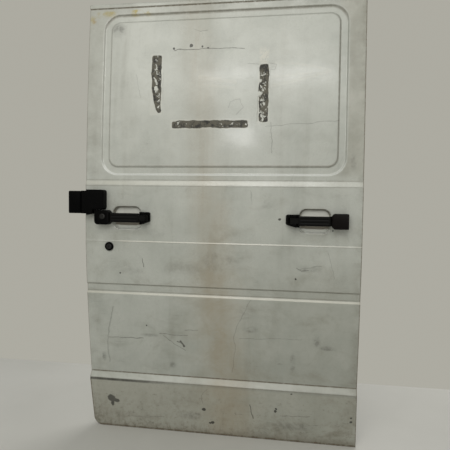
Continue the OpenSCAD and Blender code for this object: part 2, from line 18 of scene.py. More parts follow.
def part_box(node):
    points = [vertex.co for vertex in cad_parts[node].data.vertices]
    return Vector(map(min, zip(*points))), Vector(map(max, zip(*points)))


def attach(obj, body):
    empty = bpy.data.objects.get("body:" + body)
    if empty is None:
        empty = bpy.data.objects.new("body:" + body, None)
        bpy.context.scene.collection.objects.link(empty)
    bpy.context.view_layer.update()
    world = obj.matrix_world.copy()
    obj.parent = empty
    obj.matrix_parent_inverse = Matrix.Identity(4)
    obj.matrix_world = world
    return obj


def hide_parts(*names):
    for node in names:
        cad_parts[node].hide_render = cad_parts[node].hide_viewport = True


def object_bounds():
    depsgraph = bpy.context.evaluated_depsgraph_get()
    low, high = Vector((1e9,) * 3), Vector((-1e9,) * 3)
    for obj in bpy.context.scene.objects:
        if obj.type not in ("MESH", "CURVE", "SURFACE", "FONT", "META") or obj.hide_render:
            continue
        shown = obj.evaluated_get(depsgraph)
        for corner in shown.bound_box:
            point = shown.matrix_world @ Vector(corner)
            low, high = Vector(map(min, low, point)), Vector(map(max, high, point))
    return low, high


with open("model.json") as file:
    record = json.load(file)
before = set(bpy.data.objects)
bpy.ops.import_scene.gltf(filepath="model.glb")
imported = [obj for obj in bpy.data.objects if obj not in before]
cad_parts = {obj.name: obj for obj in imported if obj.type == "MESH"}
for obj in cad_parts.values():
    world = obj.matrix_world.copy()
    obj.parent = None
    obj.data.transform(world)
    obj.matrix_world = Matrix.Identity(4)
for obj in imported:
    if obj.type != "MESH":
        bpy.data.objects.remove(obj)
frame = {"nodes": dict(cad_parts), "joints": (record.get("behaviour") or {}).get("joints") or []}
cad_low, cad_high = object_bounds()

print("nodes", len(frame["nodes"]), "box", [round(v, 3) for v in (*cad_low, *cad_high)])

# %% [markdown]
# ## Door coordinates
# The model's origin is under its lower roller arm, which is handy for a fitter and awkward for a
# panel beater. Here every place on the door is given in millimetres instead: X from mid width,
# Y into the van, Z from the bottom edge. One known point, the front grip's hinge, ties the two together.

# %% From door millimetres to the model's metres
MM = 0.001
GRIP_HINGE = Vector((274, -21, 848))
joints = {joint["name"]: joint for joint in frame["joints"]}
ORIGIN = Vector(joints["front_handle_pull"]["pos_m"]) - GRIP_HINGE * MM

skin_low, skin_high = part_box("outer_skin")
HALF_W = (skin_high.x - skin_low.x) / MM / 2
DOOR_H = (skin_high.z - skin_low.z) / MM


def place(points):
    """Door millimetres, one row a point, as metres in the model's frame."""
    return np.asarray(points, float) * MM + np.array(ORIGIN)


print("door", round(2 * HALF_W), "by", round(DOOR_H), "mm")

# %% [markdown]
# ## Camera
# The camera stands where the photographer stood, a little to the right of the door's middle and half way
# up, and it looks slightly down. It comes first, so that each piece can be looked at as it is made.

# %% Camera
CAMERA_PLACE = (323, -1816, 926)
CAMERA_ANGLES = (86.91, -0.71, 9.31)
CAMERA_LENS = 39.5

camera = bpy.data.objects.new("camera", bpy.data.cameras.new("camera"))
camera.data.lens = CAMERA_LENS
camera.data.sensor_width = 36
camera.location = place([CAMERA_PLACE])[0]
camera.rotation_euler = Euler([math.radians(a) for a in CAMERA_ANGLES])
bpy.context.scene.collection.objects.link(camera)
bpy.context.scene.camera = camera
print("camera at", [round(v, 3) for v in camera.location])

# %% [markdown]
# ## Shader maths as Python expressions
# A worn paint needs hundreds of nodes, and a tree that is wired by hand is hard to read. A Wire wraps one
# output socket, so that `1 - dirt * 0.4 + scratch` adds its Math nodes by itself. Any other node comes
# from Nodes.node, which takes its type, its settings and what goes into its sockets.

# %% Wire, Nodes and Finish
class Wire:
    """One output socket that can be calculated with."""

    def __init__(self, nodes, socket):
        self.nodes, self.socket = nodes, socket

    def maths(self, operation, *values):
        return self.nodes.node("ShaderNodeMath", {"operation": operation}, dict(enumerate(values)))

    def __add__(self, other): return self.maths("ADD", self, other)
    def __radd__(self, other): return self.maths("ADD", other, self)
    def __sub__(self, other): return self.maths("SUBTRACT", self, other)
    def __rsub__(self, other): return self.maths("SUBTRACT", other, self)
    def __mul__(self, other): return self.maths("MULTIPLY", self, other)
    def __rmul__(self, other): return self.maths("MULTIPLY", other, self)
    def __abs__(self): return self.maths("ABSOLUTE", self)
    def __or__(self, other): return self.maths("MAXIMUM", self, other)
    def __and__(self, other): return self.maths("MINIMUM", self, other)
    def root(self): return self.maths("SQRT", self)

    def step(self, low, high):
        """0 below low and 1 above high, smooth in between. It falls instead where low is above high."""
        return self.nodes.node("ShaderNodeMapRange", {"interpolation_type": "SMOOTHSTEP"},
                               {0: self, 1: low, 2: high, 3: 0.0, 4: 1.0})

    def lifted(self, least):
        """The same mask, with least in place of its 0."""
        return self * (1 - least) + least

    def between(self, low, high, soft):
        """1 from low to high, with soft edges."""
        return self.step(low - soft, low + soft) * self.step(high + soft, high - soft)


class Nodes:
    """A node tree, and the methods that add nodes to it."""

    def __init__(self, tree):
        self.tree = tree

    def node(self, kind, settings=None, inputs=None, output=0):
        made = self.tree.nodes.new(kind)
        for name, value in (settings or {}).items():
            setattr(made, name, value)
        for name, value in (inputs or {}).items():
            self.put(made.inputs[name], value)
        return Wire(self, made.outputs[output])

    def put(self, socket, value):
        if isinstance(value, Wire):
            self.tree.links.new(value.socket, socket)
        else:
            socket.default_value = value

    def mix(self, share, one, other):
        """Colour one where share is 0 and colour other where it is 1."""
        return self.node("ShaderNodeMix", {"data_type": "RGBA"}, {"Factor": share, "A": one, "B": other},
                         "Result")

    def place(self):
        """Position in metres in door coordinates, as a vector."""
        return self.vectors("SUBTRACT", self.node("ShaderNodeTexCoord", output="Object"), tuple(ORIGIN))

    def axes(self, vector):
        """The three parts of a vector."""
        first = self.node("ShaderNodeSeparateXYZ", None, {0: vector})
        return [Wire(self, output) for output in first.socket.node.outputs]

    def facing_up(self, low, high):
        """0 on a surface that faces down or sideways and 1 on one that faces up."""
        return self.axes(self.node("ShaderNodeTexCoord", output="Normal"))[2].step(low, high)

    def vector(self, x, y, z):
        return self.node("ShaderNodeCombineXYZ", None, {0: x, 1: y, 2: z})

    def vectors(self, operation, one, other, output=0):
        """Vector maths on two vectors. The output is "Value" where it's a number."""
        return self.node("ShaderNodeVectorMath", {"operation": operation}, {0: one, 1: other}, output)

    def scaled(self, vector, by):
        return self.vectors("MULTIPLY", vector, by)

    def noise(self, vector, scale, detail=3.0, roughness=0.5, warp=0.0):
        return self.node("ShaderNodeTexNoise", None,
                         {"Vector": vector, "Scale": scale, "Detail": detail,
                          "Roughness": roughness, "Distortion": warp})

    def bump(self, height, strength, distance, under=None):
        inputs = {"Strength": strength, "Distance": distance, "Height": height}
        if under is not None:
            inputs["Normal"] = under
        return self.node("ShaderNodeBump", None, inputs)


class Finish(Nodes):
    """A material with its Principled shader.

    The slot argument is not used: it is only stored, with the finish's name when none is given.
    """

    def __init__(self, name, metallic=0.0, slot=None):
        self.slot = slot or name
        self.material = bpy.data.materials.new(name)
        self.material.use_nodes = True
        super().__init__(self.material.node_tree)
        self.shader = self.tree.nodes["Principled BSDF"]
        self.feed("Metallic", metallic)

    def feed(self, name, value):
        self.put(self.shader.inputs[name], value)


print("Wire, Nodes and Finish are ready")

# %% [markdown]
# ## Worn white paint
# The door was white once. Years outdoors left it grey-green and matt, with a brown water mark down its
# middle, dark glue where a sign was pulled off, and scuffs and chips that get denser towards the sill.
# Each kind of wear, and each painted shade and highlight, is a mask from 0 to 1 over door coordinates,
# and the colour is mixed through them in the order in which they came: paint, dirt and painted shade,
# stains, painted highlights, glue, scratches, chips.

# %% Marks on the outside, in door millimetres
# Scratches and scuffs: the points of each stroke as X and Z, its width, and how strongly it shows
SCRATCHES = [
    ([(-419, 493), (-442, 403), (-450, 318), (-444, 264)], 4.4, 0.36),
    ([(-440, 366), (-385, 369), (-301, 372)], 3, 0.6),
    ([(-150, 368), (-136, 347)], 7.5, 1.0),
    ([(-164, 366), (-148, 361)], 4, 0.8),
    ([(-232, 392), (-121, 391)], 2.2, 0.6),
    ([(-218, 386), (-170, 352), (-129, 331)], 2.2, 0.55),
    ([(-130, 413), (-78, 416)], 2.4, 0.55),
    ([(125, 544), (83, 462), (61, 402), (66, 343), (54, 253)], 2.8, 0.32),
    ([(83, 393), (320, 403)], 2, 0.38),
    ([(125, 132), (140, 80)], 3.4, 0.95),
    ([(-41, 185), (-63, 154), (-60, 125)], 2, 0.45),
    ([(242, 98), (354, 104)], 2, 0.6),
    ([(-367, 47), (-212, 53)], 2, 0.45),
    ([(-293, 690), (-288, 660)], 3.2, 0.75),
    ([(292, 674), (310, 661), (338, 665)], 2.2, 0.65),
    ([(300, 666), (386, 685)], 1.8, 0.55),
    ([(190, 1206), (193, 1160), (196, 1092)], 2.4, 0.48),
    ([(170, 1192), (300, 1199), (435, 1210)], 2.2, 0.4),
    ([(31, 1263), (42, 1288), (72, 1293), (87, 1262), (62, 1236)], 1.8, 0.45),
    ([(-104, 1562), (-80, 1552), (-54, 1557)], 1.8, 0.45),
    ([(-181, 1485.5), (-40, 1484.5), (88, 1482.5)], 2.6, 0.8),
    ([(-330, 1395), (-309, 1310)], 1.6, 0.4),
    ([(405, 735), (432, 640)], 1.6, 0.45),
    ([(120, 955), (128, 905)], 1.8, 0.4),
    ([(98, 1423), (140, 1421)], 2.2, 0.4),
    ([(181, 1424), (205, 1418), (200, 1398), (184, 1402)], 2, 0.45),
    ([(139, 1212), (139, 1300)], 2, 0.45),
    ([(183, 1400), (184, 1330)], 1.8, 0.35),
    ([(-222, 1400), (-223, 1330), (-221, 1290)], 1.6, 0.35),
]

# Pale streaks that a cloth left: the points of each as X and Z, its width, and how strongly it shows
WIPES = [
    ([(182, 1338), (302, 1364), (398, 1388)], 11, 0.17),
    ([(205, 1424), (300, 1416), (398, 1392)], 9, 0.14),
    ([(190, 1372), (330, 1384)], 8, 0.14),
    ([(-80, 1380), (54, 1358)], 14, 0.2),
    ([(-90, 1352), (50, 1336)], 10, 0.15),
]

# Rubbed and dirty patches: X, Z, half width, half height, and how strongly they show
SMUDGES = [
    (125, 432, 34, 16, 0.75), (286, 310, 12, 36, 0.7), (372, 398, 16, 26, 0.6), (414, 373, 34, 10, 0.75),
    (-182, 266, 14, 14, 0.55), (-467, 286, 10, 22, 0.65), (-405, 1567, 32, 30, 0.6),
    (338, 672, 50, 14, 0.45), (-270, 385, 40, 8, 0.45), (-235, 790, 60, 20, 0.2), (-130, 655, 90, 30, 0.22),
    (10, 690, 90, 50, 0.34), (110, 480, 45, 50, 0.3), (-330, 640, 50, 16, 0.2), (180, 905, 30, 20, 0.18),
    (-120, 70, 60, 22, 0.45), (300, 60, 70, 18, 0.4), (487, 1060, 12, 40, 0.45),
]

# One bigger patch where the paint has flaked off, as overlapping ovals
FLAKED = [(-436, 116, 22, 19, 1.0), (-416, 108, 19, 10, 1.0), (-430, 96, 10, 16, 1.0)]

# Chips through to the primer and black specks: X, Z, radius
CHIPS = [
    (-55, 100, 8.5), (224, 116, 7), (-20, 51, 8.5), (-29, 47, 5.5), (506, 113, 5), (506, 97, 6),
    (283, 188, 4.5), (228, 126, 5.5), (-284, 424, 3.6), (229, 853, 6.5), (-386, 633, 4.5), (290, 633, 5),
    (-116, 1497, 8.5), (-73, 1494, 6), (-52, 1487, 4.5), (-183, 1492, 6), (420, 815, 3.5),
]
print(len(SCRATCHES), "scratches,", len(SMUDGES), "smudges,", len(CHIPS), "chips")


# %% Masks that the paints share
def flat_point(x, z):
    """A place on the door in millimetres, in the metres that the masks work in."""
    return (x * MM, 0.0, z * MM)


def stroke_mask(finish, flat, one, two, width):
    """1 on a stroke from one point to another. flat is the place with its Y taken out."""
    run = Vector(flat_point(two[0] - one[0], two[1] - one[1]))
    reach = finish.vectors("SUBTRACT", flat, flat_point(*one))
    unit = tuple(run / run.length_squared)
    share = finish.node("ShaderNodeClamp", None, {0: finish.vectors("DOT_PRODUCT", reach, unit, "Value")})
    foot = finish.node("ShaderNodeVectorMath", {"operation": "SCALE"}, {0: tuple(run), "Scale": share})
    gap = finish.vectors("DISTANCE", reach, foot, "Value")
    return gap.step(width * MM * 0.75, width * MM * 0.25)


def line_mask(finish, flat, points, width, show):
    """The strokes of one scratch."""
    return most_of(stroke_mask(finish, flat, one, two, width) for one, two in zip(points, points[1:])) * show


def patch_mask(finish, flat, x, z, half_x, half_z, show):
    """1 in the middle of an oval that fades out towards its rim."""
    off = finish.vectors("SUBTRACT", flat, flat_point(x, z))
    off = finish.scaled(off, (1 / (half_x * MM), 1.0, 1 / (half_z * MM)))
    gap = finish.node("ShaderNodeVectorMath", {"operation": "LENGTH"}, {0: off}, "Value")
    return gap.step(1.25, 0.3) * show


def chip_mask(finish, flat, x, z, radius):
    """1 inside a chip, with a short fade at its rim."""
    gap = finish.vectors("DISTANCE", flat, flat_point(x, z), "Value")
    return gap.step(radius * MM, radius * MM * 0.55)


def most_of(masks):
    """The strongest of several masks at each point."""
    masks = list(masks)
    found = masks[0]
    for mask in masks[1:]:
        found = found | mask
    return found


def rim_gap(x, z, half_x, low, high, radius):
    """Distance in metres outside an upright rounded rectangle round X 0, negative inside it.

    x and z are wires in metres, and the rectangle is given in millimetres.
    """
    side = abs(x) - (half_x - radius) * MM
    end = abs(z - (low + high) / 2 * MM) - ((high - low) / 2 - radius) * MM
    out_side, out_end = side | 0.0, end | 0.0
    return (out_side * out_side + out_end * out_end).root() + ((side | end) & 0.0) - radius * MM


def hairlines(finish, flat, turn, stretch, scale, width):
    """Fine lines that run one way: the edges of a noise pattern that is stretched along them."""
    turned_place = finish.node("ShaderNodeVectorRotate", {"rotation_type": "Y_AXIS"},
                               {"Vector": flat, "Angle": math.radians(turn)})
    pattern = finish.noise(finish.scaled(turned_place, (1.0, 1.0, stretch)), scale, 1.5, 0.4)
    return abs(pattern - 0.5).step(width, width * 0.3)


print("masks are ready")

# %% Pressed lines that dirt follows, in millimetres
BEAD_Z = 1657                           # rain bead near the roof
BELT_TOP, BELT_LOW = 991, 971           # step under the window field
CREASE_Z = 758                          # lower edge of the waist band
GROOVE_TOP, GROOVE_LOW = 588, 548       # rubbing strip channel
LEDGE_TOP, LEDGE_LOW = 221, 199         # ledge over the sill
TAPER_Z, TAPER_X = 190, 14              # slanted end of the rear edge: where it starts, how far it goes in
CORNER_R = 38
BLANK_HALF, BLANK_LOW, BLANK_TOP, BLANK_R = 464, 1011, 1631, 66     # window blank
CHANNEL_W, CHANNEL_D = 34, 5            # channel round the window blank
SCOOP_X, SCOOP_HALF, SCOOP_LOW, SCOOP_TOP, SCOOP_R = 356, 56, 802, 891, 28      # finger scoops
print("pressed lines from", LEDGE_LOW, "to", BEAD_Z)

# %% Colours of the outer paint
PAINT_CLEAN = (0.565, 0.574, 0.524, 1)
PAINT_DULL = (0.41, 0.426, 0.382, 1)
# Painted light: paler paint for the finger scoops, against the shade behind the grips
SCOOP_PAINTED_LIGHT = (0.74, 0.74, 0.68, 1)
# Painted highlight for the ridges and ledges that face up
RIDGE_HIGHLIGHT = (0.8, 0.77, 0.66, 1)
# Painted highlight for the foot of the window blank's channel
FOOT_HIGHLIGHT = (0.84, 0.85, 0.82, 1)
# Painted highlight for the scoops' lower lips
LIP_HIGHLIGHT = (0.86, 0.87, 0.8, 1)
SMEAR = (0.255, 0.245, 0.195, 1)
# Brown for dirt, and for painted shade in the pressed lines, the scoops and the slanted edge
GRIME_AND_SHADE = (0.125, 0.1, 0.064, 1)
WATER_MARK = (0.372, 0.322, 0.236, 1)
YELLOW_STAIN = (0.5, 0.4, 0.11, 1)
ORANGE_STAIN = (0.42, 0.25, 0.11, 1)
RUST = (0.085, 0.042, 0.022, 1)
SILL_FILM = (0.29, 0.245, 0.16, 1)
# Painted shadow under the sill ledge
LEDGE_SHADOW = (0.03, 0.028, 0.022, 1)
GLUE_DARK = (0.014, 0.013, 0.01, 1)
GLUE_BROWN = (0.11, 0.1, 0.072, 1)
GLUE_FILM = (0.8, 0.77, 0.68, 1)
SCRATCH_GREY = (0.105, 0.102, 0.088, 1)
PRIMER = (0.03, 0.028, 0.024, 1)
print("clean paint", PAINT_CLEAN[:3])

# %% Outer paint: colour, dullness and dirt that rain carried
paint = Finish("worn_white_paint", slot="body_paint")
spot = paint.place()
x, y, z = paint.axes(spot)
flat = paint.vector(x, 0.0, z)
broad = paint.noise(flat, 2.4, 4.0, 0.6)
patchy = paint.noise(flat, 9.0, 6.0, 0.66)
blotchy = paint.noise(paint.scaled(flat, (7.0, 1.0, 11.0)), 1.0, 6.0, 0.68, 0.5)
fine = paint.noise(flat, 60.0, 5.0, 0.7)
speckle = paint.noise(flat, 320.0, 2.0, 0.6)

# A place that is shifted a little by noise, so that strokes and strips don't run dead straight
shake = paint.node("ShaderNodeTexNoise", None, {"Vector": flat, "Scale": 26.0, "Detail": 3.0}, "Color")
shake = paint.scaled(paint.vectors("SUBTRACT", shake, (0.5, 0.5, 0.5)), (0.016, 0, 0.016))
hand = paint.vectors("ADD", flat, shake)
hand_x, _, hand_z = paint.axes(hand)

low_down = z.step(1.05, 0.05)
below_waist = z.step(1.02, 0.92)
bleached = x.step(-0.1, -0.42) * z.step(1.05, 1.35) * 0.42 - (x.step(0.2, 0.4) * z.step(1.08, 1.34) * 0.26)
bleached = bleached + x.step(-0.05, -0.38) * z.step(0.84, 0.7) * 0.2
# The paint is also mixed darker towards the bottom (low_down)
dullness = (patchy.step(0.32, 0.7) * 0.45 + broad.step(0.35, 0.68) * 0.3 + low_down * 0.5 - bleached) & 1.0
dullness = dullness | 0.0
colour = paint.mix(dullness, PAINT_CLEAN, PAINT_DULL)
scoop_gap = rim_gap(abs(x) - SCOOP_X * MM, z, SCOOP_HALF, SCOOP_LOW, SCOOP_TOP, SCOOP_R)
in_scoop = scoop_gap.step(-0.001, -0.006)
# Painted light: the scoops are mixed paler, to lift the shade behind the grips
colour = paint.mix(in_scoop * 0.85, colour, SCOOP_PAINTED_LIGHT)
smears = blotchy.step(0.46, 0.76) * (below_waist * 0.22 + 0.17) + fine.step(0.46, 0.85) * 0.17
smears = (smears + x.step(-0.05, 0.4) * z.step(0.78, 0.55) * 0.27) * (1.0 - in_scoop * 0.7)
smears = smears | (z.step(0.203, 0.197) * (fine.step(0.3, 0.7) * 0.2 + 0.16))
colour = paint.mix(smears & 1.0, colour, SMEAR)
drip = paint.noise(paint.scaled(flat, (15.0, 1.0, 1.3)), 1.0, 5.0, 0.6, 0.3)
drip_fine = paint.noise(paint.scaled(flat, (70.0, 1.0, 4.5)), 1.0, 4.0, 0.6)
streaks = drip.step(0.5, 0.78) * 0.34 + drip_fine.step(0.56, 0.84) * 0.16
colour = paint.mix(streaks * patchy.step(0.35, 0.65).lifted(0.4), colour, SMEAR)
print("paint and dirt:", len(paint.tree.nodes), "nodes")

# %% Stains: the brown water mark, and smears near the top
track = x + (patchy - 0.5) * 0.05 - 0.014 + (z - 0.3) * 0.09
mark_line = track.between(-0.06, 0.066, 0.05)
mark = mark_line * drip.step(0.25, 0.66).lifted(0.5) * blotchy.step(0.3, 0.62).lifted(0.6)
mark = mark * (z.step(1.05, 0.9) * 0.45 + 0.6)
mark_core = track.between(-0.022, 0.014, 0.022) * z.between(0.86, 1.6, 0.1) * drip_fine.step(0.35, 0.6)
mark_two = track.between(-0.13, 0.13, 0.08) * z.step(0.8, 0.6) * blotchy.step(0.34, 0.6).lifted(0.4)
stain = mark * 0.54 + mark_core * 0.16 + mark_two * 0.24
colour = paint.mix(stain & 1.0, colour, WATER_MARK)

smear = patchy.step(0.44, 0.6) * fine.step(0.36, 0.58).lifted(0.3)
yellow = x.between(-0.492, -0.425, 0.014) | (x.between(-0.35, -0.28, 0.012) * 1.5)
yellow = z.between(1.622, 1.646, 0.006) * yellow
yellow = yellow | (x.between(-0.522, -0.5, 0.006) * z.between(1.585, 1.625, 0.012))
colour = paint.mix(yellow * smear, colour, YELLOW_STAIN)
orange = x.between(-0.512, -0.5, 0.005) * z.between(1.59, 1.618, 0.008)
colour = paint.mix(orange * smear * 0.7, colour, ORANGE_STAIN)
print("with stains:", len(paint.tree.nodes), "nodes")

# %% [markdown]
# Dirt settles where water stands or where a cloth doesn't reach: on the waist ledge, in the rubbing strip
# channel, round the foot of the window blank, on the sill ledge and along the hem. Painted shade is laid
# in the same lines where a wall faces down, along the scoops' upper rims, behind the grips, under the sill
# ledge and along the slanted rear edge. Those bands follow the pressed lines, so their heights are the
# same named sizes that shape the skin further down.

# %% Dirt and painted shade in the pressed lines
# Dark lines of dirt and painted shade: middle of each in millimetres, its half width in metres, and how
# strongly it shows
DARK_LINES = [
    (BEAD_Z - 1, 0.0026, 0.9), (BELT_TOP + 1, 0.002, 0.35), (BELT_LOW - 1, 0.0022, 0.3),
    (CREASE_Z - 4.5, 0.0012, 0.3), (GROOVE_TOP - 2, 0.0024, 0.4), (GROOVE_LOW + 10, 0.003, 0.3),
    (LEDGE_TOP + 1, 0.0024, 0.85), (LEDGE_LOW - 2, 0.0026, 0.35),
]
broken = fine.step(0.28, 0.56).lifted(0.45)
lines_dirt_and_shade = most_of(z.between(at * MM - half, at * MM + half, half * 0.7) * show
                  for at, half, show in DARK_LINES)
# Painted shadow under the sill ledge, strongest towards the rear
under_ledge_shadow = z.between(0.189, 0.1985, 0.0025) * (x.step(-0.15, -0.36) * 0.8 + 0.12)
under_ledge_shadow = under_ledge_shadow * patchy.step(0.2, 0.6).lifted(0.5)
blank_gap = rim_gap(x, z, BLANK_HALF, BLANK_LOW, BLANK_TOP, BLANK_R)
foot_in = -CHANNEL_W * MM
near_top = z.step(1.56, 1.605)
near_foot = z.step(1.1, 1.04)
# Dirt along the inner wall of the window channel, with painted shade on that wall
inner_line = (blank_gap + near_foot * 0.0028).between(foot_in - 0.0006, foot_in + 0.006, 0.0018)
inner_line = inner_line * (x.step(-0.4, 0.4) * 0.2 + near_foot * 0.08 + 0.22) * (1.0 - near_top * 0.75)
# A thin dark line on the channel's outer wall, and a broad painted shadow under the top of the channel
outer_line = blank_gap.between(-0.0042, -0.0004, 0.0012) * 0.14 * z.step(1.03, 1.1)
outer_line = outer_line | (blank_gap.between(-0.0096, 0.0012, 0.0026) * near_top * 0.5)
# Painted shadow along the upper rim of each finger scoop, where its wall faces down
scoop_rim_shadow = scoop_gap.between(-0.005, 0.001, 0.0016) * z.step(0.85, 0.876) * 0.75
# Painted shadow on the scoop floor just below each grip
grip_shadow = in_scoop * z.between(0.817, 0.832, 0.003) * 0.82
lines_dirt_and_shade = ((lines_dirt_and_shade | inner_line | outer_line | scoop_rim_shadow) * broken) | grip_shadow
border = blank_gap.step(-0.002, 0.006)
border_dirt = border * z.step(1.0, 1.02) * (patchy.step(0.35, 0.62) * 0.14 + 0.02)
# Darker along the border beside the window blank, most at the front side
side_darkening = x.step(0.4, 0.47) * z.step(0.96, 1.06) * 0.24 + x.step(-0.4, -0.47) * z.step(1.05, 1.2) * 0.06
side_darkening = border * side_darkening
print("with dirt in the lines:", len(paint.tree.nodes), "nodes")

# %% Dirt and painted shade at the edges, on the sill and in rubbed patches
right_edge = x.step(HALF_W * MM - 0.0045, HALF_W * MM - 0.0015) * 0.75
right_edge = right_edge | (x.step(HALF_W * MM - 0.04, HALF_W * MM - 0.004) * patchy.step(0.35, 0.65) * 0.3)
left_edge = x.step(0.0035 - HALF_W * MM, 0.0012 - HALF_W * MM) * 0.55
hem_drips = z.step(0.052, 0.004) * (drip_fine * 0.35 + fine * 0.65).step(0.4, 0.62) * 0.62
hem_film = z.step(0.04, 0.0) * (x.step(-0.45, 0.3) * 0.25 + 0.32) * patchy.step(0.3, 0.6).lifted(0.5)
hem_drips = hem_drips | hem_film
hem_line = z.step(0.012, 0.005) * 0.9
speckled = fine.step(0.35, 0.62).lifted(0.4)
rear_corner = (x + z * 0.35).step(-0.34, -0.5) * z.step(0.15, 0.03) * speckled * 0.55
sill_dirt = z.step(0.2, 0.03) * blotchy.step(0.46, 0.66) * speckled * 0.35
taper = x + HALF_W * MM - (((TAPER_Z * MM - z) | 0.0) * (TAPER_X / (TAPER_Z - CORNER_R)))
# Painted shade along the slanted rear edge below the ledge, where the door's side is in shadow
taper_edge_shadow = taper.between(-0.002, 0.0045, 0.0015) * z.step(0.205, 0.19) * 0.85
edges = (right_edge | left_edge | hem_line | taper_edge_shadow) * broken
# Dirt and the painted shade from above are mixed in together, in one brown
grime_and_shade = (lines_dirt_and_shade | border_dirt | edges | hem_drips | rear_corner | sill_dirt) & 1.0
colour = paint.mix(z.step(0.198, 0.186) * (x.step(0.3, -0.5) * 0.1 + 0.14), colour, SILL_FILM)
colour = paint.mix(side_darkening, colour, SILL_FILM)
colour = paint.mix(grime_and_shade, colour, GRIME_AND_SHADE)
colour = paint.mix(under_ledge_shadow, colour, LEDGE_SHADOW)
smudged = most_of(patch_mask(paint, flat, *row) for row in SMUDGES)
smudged = smudged * blotchy.step(0.34, 0.6) * fine.step(0.36, 0.6).lifted(0.4)
colour = paint.mix(smudged, colour, SCRATCH_GREY)
print("with dirt at the edges:", len(paint.tree.nodes), "nodes")

# %% Painted highlights on the ridges and lips, and rust
# Painted highlights where the pressing faces up: the crease, the foot of the rubbing strip channel, the waist
# ledge and the sill ledge
ridge_highlight = z.between(CREASE_Z * MM - 0.0028, CREASE_Z * MM + 0.0006, 0.0014)
ridge_highlight = ridge_highlight * x.step(-0.43, -0.36) * (x.step(0.46, 0.1) * 0.25 + 0.28)
ridge_highlight = ridge_highlight | (z.between(GROOVE_LOW * MM - 0.001, GROOVE_LOW * MM + 0.007, 0.0015) * 0.45)
belt = z.between(BELT_LOW * MM + 0.003, BELT_TOP * MM - 0.003, 0.005)
ridge_highlight = ridge_highlight | (belt * (patchy.step(0.3, 0.7) * 0.2 + x.step(0.42, -0.1) * 0.18 + 0.04))
ledge = z.between(LEDGE_LOW * MM + 0.003, LEDGE_TOP * MM - 0.004, 0.004)
ridge_highlight = ridge_highlight | (ledge * fine.step(0.25, 0.5) * 0.08)
colour = paint.mix(ridge_highlight, colour, RIDGE_HIGHLIGHT)
# Painted highlight on the channel's lower outer wall, which faces up, at the window blank's foot
blank_foot_highlight = blank_gap.between(-0.0064, 0.001, 0.002) * z.step(1.075, 1.025)
blank_foot_highlight = blank_foot_highlight * x.step(0.44, 0.36).lifted(0.55)
colour = paint.mix(blank_foot_highlight * 0.62, colour, FOOT_HIGHLIGHT)
# Painted highlight on the lower slope of each finger scoop, below the grip
scoop_lip_highlight = scoop_gap.between(-0.0145, 0.0015, 0.002) * z.step(0.822, 0.815)
colour = paint.mix(scoop_lip_highlight, colour, LIP_HIGHLIGHT)
rust = hem_line * fine.step(0.5, 0.62) * patchy.step(0.42, 0.55) * 0.4
rust = rust | (speckle.step(0.72, 0.77) * z.step(0.25, 0.0) * patchy.step(0.52, 0.62) * 0.7)
colour = paint.mix(rust, colour, RUST)
print("with ridges and rust:", len(paint.tree.nodes), "nodes")

# %% [markdown]
# Where a sign was pulled off, three strips of its glue stayed, torn in flakes, with a pale film of glue
# round them. A flake's edge is a noise threshold inside a box that has soft sides. The threshold is easier
# to pass near the rim of a strip, because the glue was thickest there.

# %% Glue strips
flake = paint.noise(paint.scaled(flat, (1.0, 1.0, 0.8)), 66.0, 6.0, 0.66, 0.6)


def glue_strip(x_low, x_high, z_low, z_high):
    """A strip and its rim, in metres. The sides may be numbers or wires."""
    across, upward = (hand_x - x_low) & (x_high - hand_x), (hand_z - z_low) & (z_high - hand_z)
    depth = across & upward
    depth = depth - ((across + upward).step(0.01, 0.0) * 0.003)
    return depth.step(-0.0009, 0.0015), depth.step(0.0065, 0.002)


low_bend = (1.385 - z) | 0.0
left_side = low_bend * low_bend * 1.25 - 0.268
left_strip, left_rim = glue_strip(left_side, -0.229, 1.246, 1.4655)
right_strip, right_rim = glue_strip(0.144, 0.179, 1.21, 1.422)
low_strip, low_rim = glue_strip(-0.184, 0.1055, 1.188, 1.216)
solid_left = x.step(-0.246, -0.24) * z.step(1.395, 1.42) * 0.25
solid_right = z.step(1.385, 1.4) * 0.1 + x.step(0.166, 0.172) * 0.05
left_run = (hand_x - left_side).step(0.013, 0.004) * 0.14
glue = left_strip * (flake + left_rim * 0.07 + left_run + solid_left).step(0.44, 0.475)
glue = glue | (right_strip * (flake + right_rim * 0.05 + solid_right).step(0.46, 0.49))
glue = glue | (low_strip * (flake + low_rim * 0.11 + x.step(-0.16, -0.1) * 0.05).step(0.42, 0.455))
wipes = most_of(line_mask(paint, flat, *row) for row in WIPES)
film = most_of([
    wipes * fine.step(0.25, 0.6).lifted(0.5),
    hand_x.between(0.145, 0.178, 0.005) * z.between(1.395, 1.478, 0.016) * fine.step(0.34, 0.58) * 0.6,
    x.between(-0.272, -0.224, 0.004) * z.between(1.24, 1.472, 0.006) * 0.16,
    x.between(0.14, 0.183, 0.004) * z.between(1.205, 1.425, 0.006) * 0.22,
    x.between(-0.19, 0.111, 0.005) * z.between(1.183, 1.221, 0.004) * 0.2])
colour = paint.mix(film, colour, GLUE_FILM)
glue_colour = paint.mix(paint.noise(flat, 45.0, 4.0, 0.65).step(0.38, 0.56), GLUE_DARK, GLUE_BROWN)
colour = paint.mix(glue, colour, glue_colour)
print("with glue:", len(paint.tree.nodes), "nodes")

